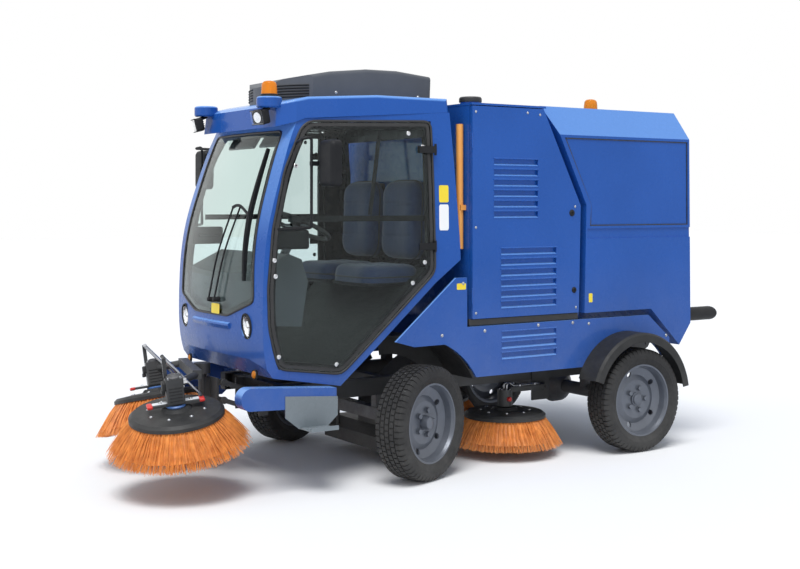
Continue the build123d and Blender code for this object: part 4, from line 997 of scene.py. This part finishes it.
def looks_inward(tree):
    """1 where a face looks towards the cabin's middle."""
    place = node(tree, "ShaderNodeTexCoord").outputs
    reach = node(tree, "ShaderNodeVectorMath", {0: CABIN_MIDDLE, 1: place["Object"]},
                 operation="SUBTRACT")
    turned_in = node(tree, "ShaderNodeVectorMath",
                     {0: reach.outputs["Vector"], 1: place["Normal"]}, operation="DOT_PRODUCT")
    return node(tree, "ShaderNodeMath", {0: turned_in.outputs["Value"], 1: LINING_FROM},
                operation="GREATER_THAN").outputs[0]


dress(painted_over(blue_paint, "cab_shell_paint", LINING_TONE, looks_inward), "cab_shell")
mat_rubber = matter("mat_rubber", [(0.0138, 0.0152, 0.0152), (0.0248, 0.0262, 0.0262)],
                    rough=(0.55, 0.75), grain=(160.0, 0.3), drift=9.0)
floor_y, floor_z = resample(FLOOR_LINE, RIB_STEP).T
half = door_point(floor_y, np.maximum(floor_z, 0.6))[:, 0] - MAT_GAP
mat = np.stack(np.broadcast_arrays(
    np.linspace(-half, half, 5, axis=1), (floor_y + AXLE_Y)[:, None],
    (floor_z + MAT_LIFT + RIB_HEIGHT * (np.arange(len(half)) % 2))[:, None]), 2)
points, faces, _ = slab(mat, mat - MAT_THICK * UP)
piece("floor_mat", (points, faces[:, ::-1]), mat_rubber, "chassis")

# ---- Panel joints: dark sealing strips in the hopper's recess and under the doors ----
# Extruded black rubber in the joints between pressed panels, flush with the painted skin.
RECESS_X, DOOR_FOOT, DOOR_FOOT_SIZE = 0.6935, (0.676, 0.812, 0.850), (0.020, 0.830, 0.044)
RECESS_LINES = ([(1.118, 1.936), (2.156, 1.936)], [(2.156, 1.936), (2.156, 1.404)],
                [(1.318, 1.404), (2.156, 1.404)], [(1.118, 1.936), (1.322, 1.530)],
                [(1.322, 1.530), (1.318, 1.404)])
for side_name, side in SIDES:
    piece(f"hopper_seams_{side_name}",
          [sweep(resample([at(side, (RECESS_X, *spot)) for spot in line], 0.08),
                 flat_bar(-0.001, 0.0045, 0.003), normal=side * ACROSS)
           for line in RECESS_LINES], seal_rubber, "hopper")
    piece(f"door_foot_seal_{side_name}",
          rounded_box((at(side, DOOR_FOOT), ACROSS, ALONG, UP), DOOR_FOOT_SIZE, 0.006, 4),
          seal_rubber)

# ---- Body fittings: fold-lips of the louvres, dome screws and door locks ----
# Pressed louvres carry a rolled lip over each mouth. Panels are held by zinc dome screws;
# each engine door has two quarter-turn locks.
SIDE_X, LIP_OVERRUN, LIP_GAP, MOUTH_SHARE, LOWER_LIP = 0.700, 0.004, 0.002, 0.62, 0.55
LOUVRE_BANKS = {
    # bank: y0, y1, top, bottom, slats, body
    "upper": (0.568, 0.898, 1.801, 1.431, 6, "engine_door_{}"),
    "lower": (0.620, 1.040, 1.275, 0.901, 6, "engine_door_{}"),
    "skirt": (0.625, 1.039, 0.787, 0.602, 3, "chassis"),
}
LIP = np.array([(-0.0012, -0.004), (0.0026, -0.0032), (0.0034, 0.0), (0.0026, 0.0032),
                (-0.0012, 0.004)])
DOOR_SCREWS = [(0.436, 0.905), (0.436, 1.400), (0.436, 2.070), (0.915, 2.070), (1.190, 1.520),
               (1.195, 0.905), (0.820, 2.078)]
SKIRT_SCREWS = [(0.197, 0.790), (0.345, 1.080), (0.500, 0.800), (0.900, 0.812), (1.170, 0.812),
                (1.300, 0.585), (1.300, 0.800), (1.930, 0.585), (1.960, 0.690)]
LOCKS = [(1.165, 1.481, 0.017), (1.181, 1.011, 0.015)]


def screw_head(axes, radius=0.0085):
    """A domed screw head on a thin washer, standing on a frame's first axis."""
    return turned([(-0.001, radius * 1.35), (0.0012, radius * 1.3), (0.0014, radius),
                   (0.003, radius * 0.94), (0.0052, radius * 0.62), (0.006, radius * 0.3),
                   (0.0056, 0.0)], 18, axes)


def on_side(side, y, z):
    """A frame on the body's flat side, looking outwards."""
    return facing(at(side, (SIDE_X, y, z)), side * ACROSS)


for side_name, side in SIDES:
    for bank, (y0, y1, top, bottom, slats, body) in LOUVRE_BANKS.items():
        pitch = (top - bottom) / slats
        lips = []
        for z in top - pitch * np.arange(slats):
            for level, spread in ((z + LIP_GAP, 1.0),
                                  (z - pitch * MOUTH_SHARE - LIP_GAP, LOWER_LIP)):
                run = [at(side, (SIDE_X, y, level))
                       for y in np.linspace(y0 - LIP_OVERRUN, y1 + LIP_OVERRUN, 6)]
                lips.append(sweep(run, LIP * spread, normal=side * ACROSS))
        piece(f"louvre_lips_{bank}_{side_name}", lips, blue_paint, body.format(side_name))
    for name, spots, radius, body in (
            ("door", DOOR_SCREWS, 0.006, f"engine_door_{side_name}"),
            ("skirt", SKIRT_SCREWS, 0.0075, "chassis")):
        piece(f"{name}_screws_{side_name}",
              [screw_head(on_side(side, y, z), radius) for y, z in spots], zinc, body)
    lock = []
    for y, z, r in LOCKS:
        spot = on_side(side, y, z)
        lock += [turned([(-0.001, r * 1.25), (0.002, r * 1.2), (0.004, r), (0.0065, r * 0.9),
                         (0.0065, r * 0.45), (0.0045, r * 0.40), (0.0045, 0.0)], 26, spot),
                 rounded_box(moved(spot, 0.0062), (0.003, r * 0.28, r * 1.1), 0.001, 3)]
    piece(f"door_locks_{side_name}", lock, black_plastic, f"engine_door_{side_name}")

# ---- Blank notice patches: plain vinyl rectangles, yellow and white ----
# Cut vinyl with rounded corners, rolled flat on to the paint, no printing on any of them.
VINYL_LIFT, POST_Y, POST_WIDTH = 0.0012, 0.214, 0.062
yellow_vinyl, white_vinyl = (
    matter(f"{tone}_vinyl", tones, rough=(0.3, 0.42), grain=(200.0, 0.02), drift=12.0)
    for tone, tones in (("yellow", [(0.88, 0.6348, 0.0276), (0.88, 0.7176, 0.0414)]),
                        ("white", [(0.8556, 0.88, 0.88), (0.88, 0.88, 0.88)])))
PATCHES = {
    # patch: near lower corner (y, z), width, height, vinyl, body
    "post_upper": (POST_Y, 1.545, POST_WIDTH, 0.098, yellow_vinyl, "chassis"),
    "post_lower": (POST_Y, 1.385, POST_WIDTH, 0.148, white_vinyl, "chassis"),
    "skirt": (0.300, 1.045, 0.064, 0.036, yellow_vinyl, "chassis"),
    "beam": (1.300, 0.930, 0.030, 0.055, yellow_vinyl, "hopper"),
}
PATCH_OUTLINE = resample(rounded([(0, 0), (1, 0), (1, 1), (0, 1)], 0.10, 5), 0.12, closed=True)


def vinyl_patch(name, corner, size, surface, material, body):
    """A flat sticker with rounded corners: its outline scaled, then laid by surface(a, b)."""
    points = surface(*(np.array(corner) + PATCH_OUTLINE * size).T)
    piece(name, (points, [list(range(len(points)))]), material, body)


for side_name, side in SIDES:
    for patch, (y, z, width, height, vinyl, body) in PATCHES.items():
        vinyl_patch(f"patch_{patch}_{side_name}", (y, z), (width, height),
                    (lambda y, z: door_point(y, z, VINYL_LIFT, side)) if y == POST_Y else
                    (lambda y, z: np.stack([np.full_like(y, side * (SIDE_X + VINYL_LIFT / 2)),
                                            y + AXLE_Y, z], 1)), vinyl, body)
vinyl_patch("patch_nose", (0.036, 0.925), (0.10, 0.056),
            lambda x, z: screen_point(x, z, 6 * VINYL_LIFT), yellow_vinyl, "chassis")

# ---- Hopper fittings: rear-door ribs, tail lamps on the rear frame ----
# Pressed stiffeners are welded to the rear door; combined stop and turn lamps are moulded
# in red with clear edges and stand on black bases.
TAIL_AT, RIB_Y, RIBS_X = (0.585, 2.183, 1.975), 2.1805, (-0.42, -0.14, 0.14, 0.42)
RIB_LOW, RIB_HIGH, CROSS_HALF, CROSS_LEVELS = 0.950, 1.880, 0.600, (0.945, 1.885)
tail_red = glass("tail_red", (0.62, 0.03, 0.02), (0.05, 0.12), clear=0.3)
for side_name, side in SIDES:
    tail = (at(side, TAIL_AT), ALONG, ACROSS, UP)
    piece(f"tail_lamp_{side_name}", rounded_box(tail, (0.030, 0.110, 0.050), 0.010), tail_red,
          "hopper")
    piece(f"tail_lamp_base_{side_name}",
          rounded_box(moved(tail, -0.016), (0.014, 0.120, 0.060), 0.005, 4), black_plastic,
          "hopper")
ribs = [sweep([at(1, (x, RIB_Y, z)) for z in np.linspace(RIB_LOW, RIB_HIGH, 8)],
              [(0.0, -0.024), (0.010, -0.015), (0.010, 0.015), (0.0, 0.024)], normal=ALONG)
        for x in RIBS_X]
ribs += [sweep([at(1, (x, RIB_Y, z)) for x in np.linspace(-CROSS_HALF, CROSS_HALF, 8)],
               [(0.0, -0.016), (0.008, -0.010), (0.008, 0.010), (0.0, 0.016)], normal=ALONG)
         for z in CROSS_LEVELS]
piece("hopper_door_ribs", ribs, blue_paint, "hopper_door")

# ---- Front brush gear: motor caps, cross bars with red end caps, strut fittings ----
# Each head carries a hydraulic motor with a bolted end cap and two zinc ports; a light
# grey bar across the top of the plate ends in red plastic caps; the gas strut is polished.
CAP_BOLT = [(-0.001, 0.0085), (0.0015, 0.0085), (0.0016, 0.0062), (0.0085, 0.0062),
            (0.0095, 0.005), (0.0095, 0.0)]
OIL_PORT = [(-0.001, 0.013), (0.006, 0.013), (0.0065, 0.0105), (0.022, 0.0105), (0.024, 0.008),
            (0.024, 0.0)]
STRUT_PIN = [(-0.002, 0.0115), (0.003, 0.0115), (0.0045, 0.0095), (0.0045, 0.0)]
MOTOR_CAP = [(0.189, 0.040), (0.197, 0.040), (0.200, 0.037), (0.204, 0.024), (0.207, 0.022),
             (0.210, 0.012), (0.211, 0.0)]
HUB_RING = [(0.034, 0.052), (0.040, 0.054), (0.045, 0.048), (0.045, 0.0371)]
STRUT_ENDS = ((-0.040, 0.290), (0.136, 0.060))       # along and up from the plate's centre
STRUT_X, STRUT_PIN_X, BARREL_R, PISTON_R = 0.054, 0.066, 0.0105, 0.0076
CAP_SQUARE, CAP_FACE, PORT_X, PORT_Y, PORT_Z = 0.032, 0.191, 0.022, 0.046, 0.160
BAR_CAP_Y, BAR_CAP_Z, BAR_FACE_Z, BAR_SCREW_Y, BAR_TOP = 0.136, 0.0505, 0.058, 0.080, 0.061
FIN_LEVELS, FIN_X = (0.075, 0.092, 0.109, 0.126, 0.143), 0.0462
PLATE_SCREWS, PLATE_SCREW_CIRCLE, PLATE_TOP = 8, 0.150, 0.0150
red_plastic = matter("red_plastic", [(0.5796, 0.0248, 0.0193), (0.7176, 0.0359, 0.0276)],
                     rough=(0.3, 0.45), grain=(260.0, 0.04), drift=18.0)
pale_paint = matter("pale_paint", [(0.69, 0.7176, 0.7452), (0.8556, 0.8694, 0.88)],
                    rough=(0.35, 0.5), grain=(220.0, 0.05), drift=16.0, dust=(0.1, 0.7, 0.3))
hub_blue = matter("hub_blue", [(0.0414, 0.138, 0.414), (0.0552, 0.1794, 0.4968)],
                  rough=(0.35, 0.5), grain=(260.0, 0.08), drift=16.0, dust=(0.1, 0.6, 0.5))


def plate_screws(axes, lead):
    """Dome screws round a brush plate's top; axes start with the plate's normal."""
    return [screw_head(spot) for spot in
            on_circle(moved(axes, PLATE_TOP), PLATE_SCREW_CIRCLE, PLATE_SCREWS, lead)]


for side_name, side in SIDES:
    centre, across, along, normal = front_brush_frame(side)
    upright = (centre, normal, across, along)
    lengthways = (centre, along, across, normal)
    steel = [turned(CAP_BOLT, 6, moved(upright, CAP_FACE, x, y))
             for x in (-CAP_SQUARE, CAP_SQUARE) for y in (-CAP_SQUARE, CAP_SQUARE)]
    steel += [turned(OIL_PORT, 6, moved(lengthways, PORT_Y, x, PORT_Z))
              for x in (-PORT_X, PORT_X)]
    steel += [screw_head(moved(upright, BAR_TOP, 0, y), 0.008)
              for y in (-BAR_SCREW_Y, BAR_SCREW_Y)]
    start, end = (moved(upright, z, -side * STRUT_X, y)[0] for y, z in STRUT_ENDS)
    rod = start + np.linspace(0.02, 0.98, 12)[:, None] * (end - start)
    steel += [sweep(rod[:7], circle(BARREL_R, 16)), sweep(rod[5:], circle(PISTON_R, 14))]
    for y, z in STRUT_ENDS:
        spot = moved(upright, z, -side * STRUT_PIN_X, y)[0]
        steel.append(turned(STRUT_PIN, 6, (spot, -side * across, along, normal)))
    piece(f"brush_head_steel_{side_name}", steel, zinc, "brush_carrier")
    piece(f"brush_bar_caps_{side_name}",
          [rounded_box(moved(lengthways, y, 0, BAR_CAP_Z), (0.030, 0.060, 0.018), 0.006)
           for y in (-BAR_CAP_Y, BAR_CAP_Y)], red_plastic, "brush_carrier")
    piece(f"brush_bar_face_{side_name}",
          rounded_box(moved(lengthways, 0, 0, BAR_FACE_Z), (0.246, 0.030, 0.006), 0.0025, 4),
          pale_paint, "brush_carrier")
    piece(f"brush_motor_cap_{side_name}", turned(MOTOR_CAP, 36, upright), cast_grey,
          "brush_carrier")
    piece(f"brush_hub_ring_{side_name}", turned(HUB_RING, 40, upright), hub_blue,
          f"brush_front_{side_name}")
    sideways = (centre, across, along, normal)
    fins = [rounded_box(moved(sideways, x, 0, z), (0.006, 0.070, 0.006), 0.002, 3)
            for z in FIN_LEVELS for x in (-FIN_X, FIN_X)]
    fins += [rounded_box(moved(lengthways, -0.050, 0, 0.150), (0.030, 0.056, 0.044), 0.006, 4),
             rounded_box(moved(lengthways, -0.060, 0, 0.120), (0.020, 0.040, 0.024), 0.005, 4)]
    piece(f"brush_motor_fins_{side_name}", fins, black_plastic, "brush_carrier")
    piece(f"brush_plate_screws_{side_name}", plate_screws(upright, 0.5), zinc,
          f"brush_front_{side_name}")

# ---- Side brush gear: motor screws, feed pipes along the arms, plate screws ----
# Two bright steel pipes are clipped on top of each arm and bend down into the motor; a red
# cap closes the unused port.
PIPE_RUN = [(1.4, 0.004, 0.138), (1.4, 0.006, 0.168), (1.0, 0.030, 0.176), (1.0, 0.070, 0.1575),
            (1.0, 0.180, 0.1565), (1.0, 0.270, 0.1565)]      # spread, along, up
PIPE_X, PIPE_R, CLIPS_AT, CLIP_Z = 0.010, 0.0058, (0.110, 0.230), 0.1570
MOTOR_SCREWS, MOTOR_SCREW_CIRCLE, MOTOR_TOP = 8, 0.036, 0.1395
PORT_CAP_AT = (0.0455, -0.004, 0.085)
PORT_CAP = [(-0.002, 0.014), (0.012, 0.014), (0.016, 0.011), (0.017, 0.0)]
for side_name, side in SIDES:
    hub = side_brush_hub(side)
    upright = (hub, UP, ACROSS, ALONG)
    steel = [sweep(curve_through([hub + (x * spread, y, z) for spread, y, z in PIPE_RUN]),
                   circle(PIPE_R, 12)) for x in (-PIPE_X, PIPE_X)]
    steel += [rounded_box((hub + (0, y, CLIP_Z), ALONG, ACROSS, UP), (0.018, 0.038, 0.018),
                          0.005, 4) for y in CLIPS_AT]
    steel += [screw_head(spot, 0.0042) for spot in
              on_circle(moved(upright, MOTOR_TOP), MOTOR_SCREW_CIRCLE, MOTOR_SCREWS, 0.5)]
    piece(f"side_brush_steel_{side_name}", steel, zinc, f"mid_arm_{side_name}")
    cap_at = hub + np.array(PORT_CAP_AT) * (side, 1, 1)
    piece(f"side_brush_cap_{side_name}", turned(PORT_CAP, 24, facing(cap_at, side * ACROSS)),
          red_plastic, f"mid_arm_{side_name}")
    piece(f"side_plate_screws_{side_name}", plate_screws(upright, 0.25), zinc,
          f"brush_mid_{side_name}")

# ---- Roof equipment: grille slats of the cooling unit, intake cap, front markers ----
# Slats are moulded round the curved nose of the hood; the engine's intake has a black
# rubber rain cap; two round marker lamps sit in the lower corners of the nose.
HOOD_R, HOOD_MIDDLE, HOOD_HALF, SLAT_PROUD = 0.4812, -0.1308, 0.3600, 0.001
SLAT_LEVELS, SLAT_TURN = np.linspace(2.140, 2.204, 5), np.linspace(0.18, 0.80, 18)
HOOD_SCREWS_Y, HOOD_SCREW_Z = (-0.30, 0.26), 2.170
SLAT = [(-0.003, -0.004), (0.005, -0.0045), (0.006, 0.0), (-0.003, 0.004)]
INTAKE_AT = (0.560, 0.500, 2.122)
INTAKE_CAP = [(0.012, 0.0622), (0.012, 0.066), (0.018, 0.068), (0.036, 0.067), (0.044, 0.060),
              (0.0462, 0.040), (0.0452, 0.036), (0.0452, 0.0)]
MARKER_X, MARKER_Z = 0.430, 0.617
MARKER_RING = [(-0.004, 0.027), (0.006, 0.027), (0.009, 0.0245), (0.006, 0.0225)]
MARKER_LENS = [(0.004, 0.0225), (0.009, 0.019), (0.012, 0.010), (0.0125, 0.0)]
LEDGE_HALF, LEDGE_Z = 0.24, 0.868
LEDGE = [(-0.004, -0.020), (0.012, -0.010), (0.014, 0.000), (-0.004, 0.026)]
slats = []
for z in SLAT_LEVELS:
    for side in (-1, 1):
        outward = (HOOD_R + SLAT_PROUD) * np.stack([side * np.sin(SLAT_TURN),
                                                    -np.cos(SLAT_TURN), 0 * SLAT_TURN], 1)
        slats.append(sweep(at(1, (0, HOOD_MIDDLE, z)) + outward, SLAT, normal=outward))
piece("hood_slats", slats, black_plastic)
piece("hood_screws",
      [screw_head(facing(at(side, (HOOD_HALF, y, HOOD_SCREW_Z)), side * ACROSS), 0.007)
       for side in (-1, 1) for y in HOOD_SCREWS_Y], zinc, "chassis")
piece("intake_cap", turned(INTAKE_CAP, 48, (at(1, INTAKE_AT), UP, ACROSS, ALONG)), seal_rubber)
for side_name, side in SIDES:
    spot = facing(screen_point(side * MARKER_X, MARKER_Z)[0], (side * 0.1, -1, 0.05))
    for name, profile, material, slot in (("ring", MARKER_RING, black_plastic, "trim_plastic"),
                                          ("lens", MARKER_LENS, amber_lens, "lamp_lens")):
        piece(f"marker_{name}_{side_name}", turned(profile, 30, spot), material, "chassis")
ledge = screen_point(np.linspace(-LEDGE_HALF, LEDGE_HALF, 24), np.full(24, LEDGE_Z))
piece("nose_ledge", sweep(ledge, LEDGE, normal=-ALONG), blue_paint, "chassis")

# ---- Cab interior trim: sun visors, switch row, leather-cased wheel rim, boss ----
# Moulded foam visors in vinyl hinge on the roof rail; a row of red rocker switches stands on
# the dashboard, and the steering wheel's rim is cased in stitched leather round a hard boss.
VISOR_AT, VISOR_LEAN = (0.205, -0.590, 1.905), (0.85, 0.53)
SWITCH_Y, SWITCH_Z, SWITCH_LEAN = -0.600, 1.250, (0.37, 0.93)
STEERING_AT, STEERING_TILT, STEERING_R, GRIP_R = (0.225, -0.470, 1.412), radians(25), 0.185, 0.0137
BOSS = [(-0.012, 0.048), (0.006, 0.050), (0.016, 0.044), (0.020, 0.030), (0.021, 0.0)]
for side_name, side in SIDES:
    c, s = VISOR_LEAN
    piece(f"sun_visor_{side_name}",
          rounded_box((at(side, VISOR_AT), c * ALONG - s * UP, ACROSS, s * ALONG + c * UP),
                      (0.018, 0.340, 0.110), 0.008), grey_plastic, "chassis")
c, s = SWITCH_LEAN
piece("dash_switches",
      [rounded_box((at(1, (x, SWITCH_Y, SWITCH_Z)), c * ALONG + s * UP, ACROSS,
                    s * ALONG - c * UP), (0.014, 0.020, 0.030), 0.004, 3)
       for x in np.linspace(-0.05, 0.10, 5)], red_plastic, "chassis")
column = sin(STEERING_TILT) * ALONG + cos(STEERING_TILT) * UP
steering = (at(1, STEERING_AT), column, ACROSS, np.cross(column, ACROSS))
piece("wheel_rim_grip", turned(circle(GRIP_R, 16) + (0, STEERING_R), 120, steering,
                               wrap_profile=True), duct_rubber, "chassis",
      crease=60)
piece("wheel_boss", turned(BOSS, 32, steering), black_plastic, "chassis")
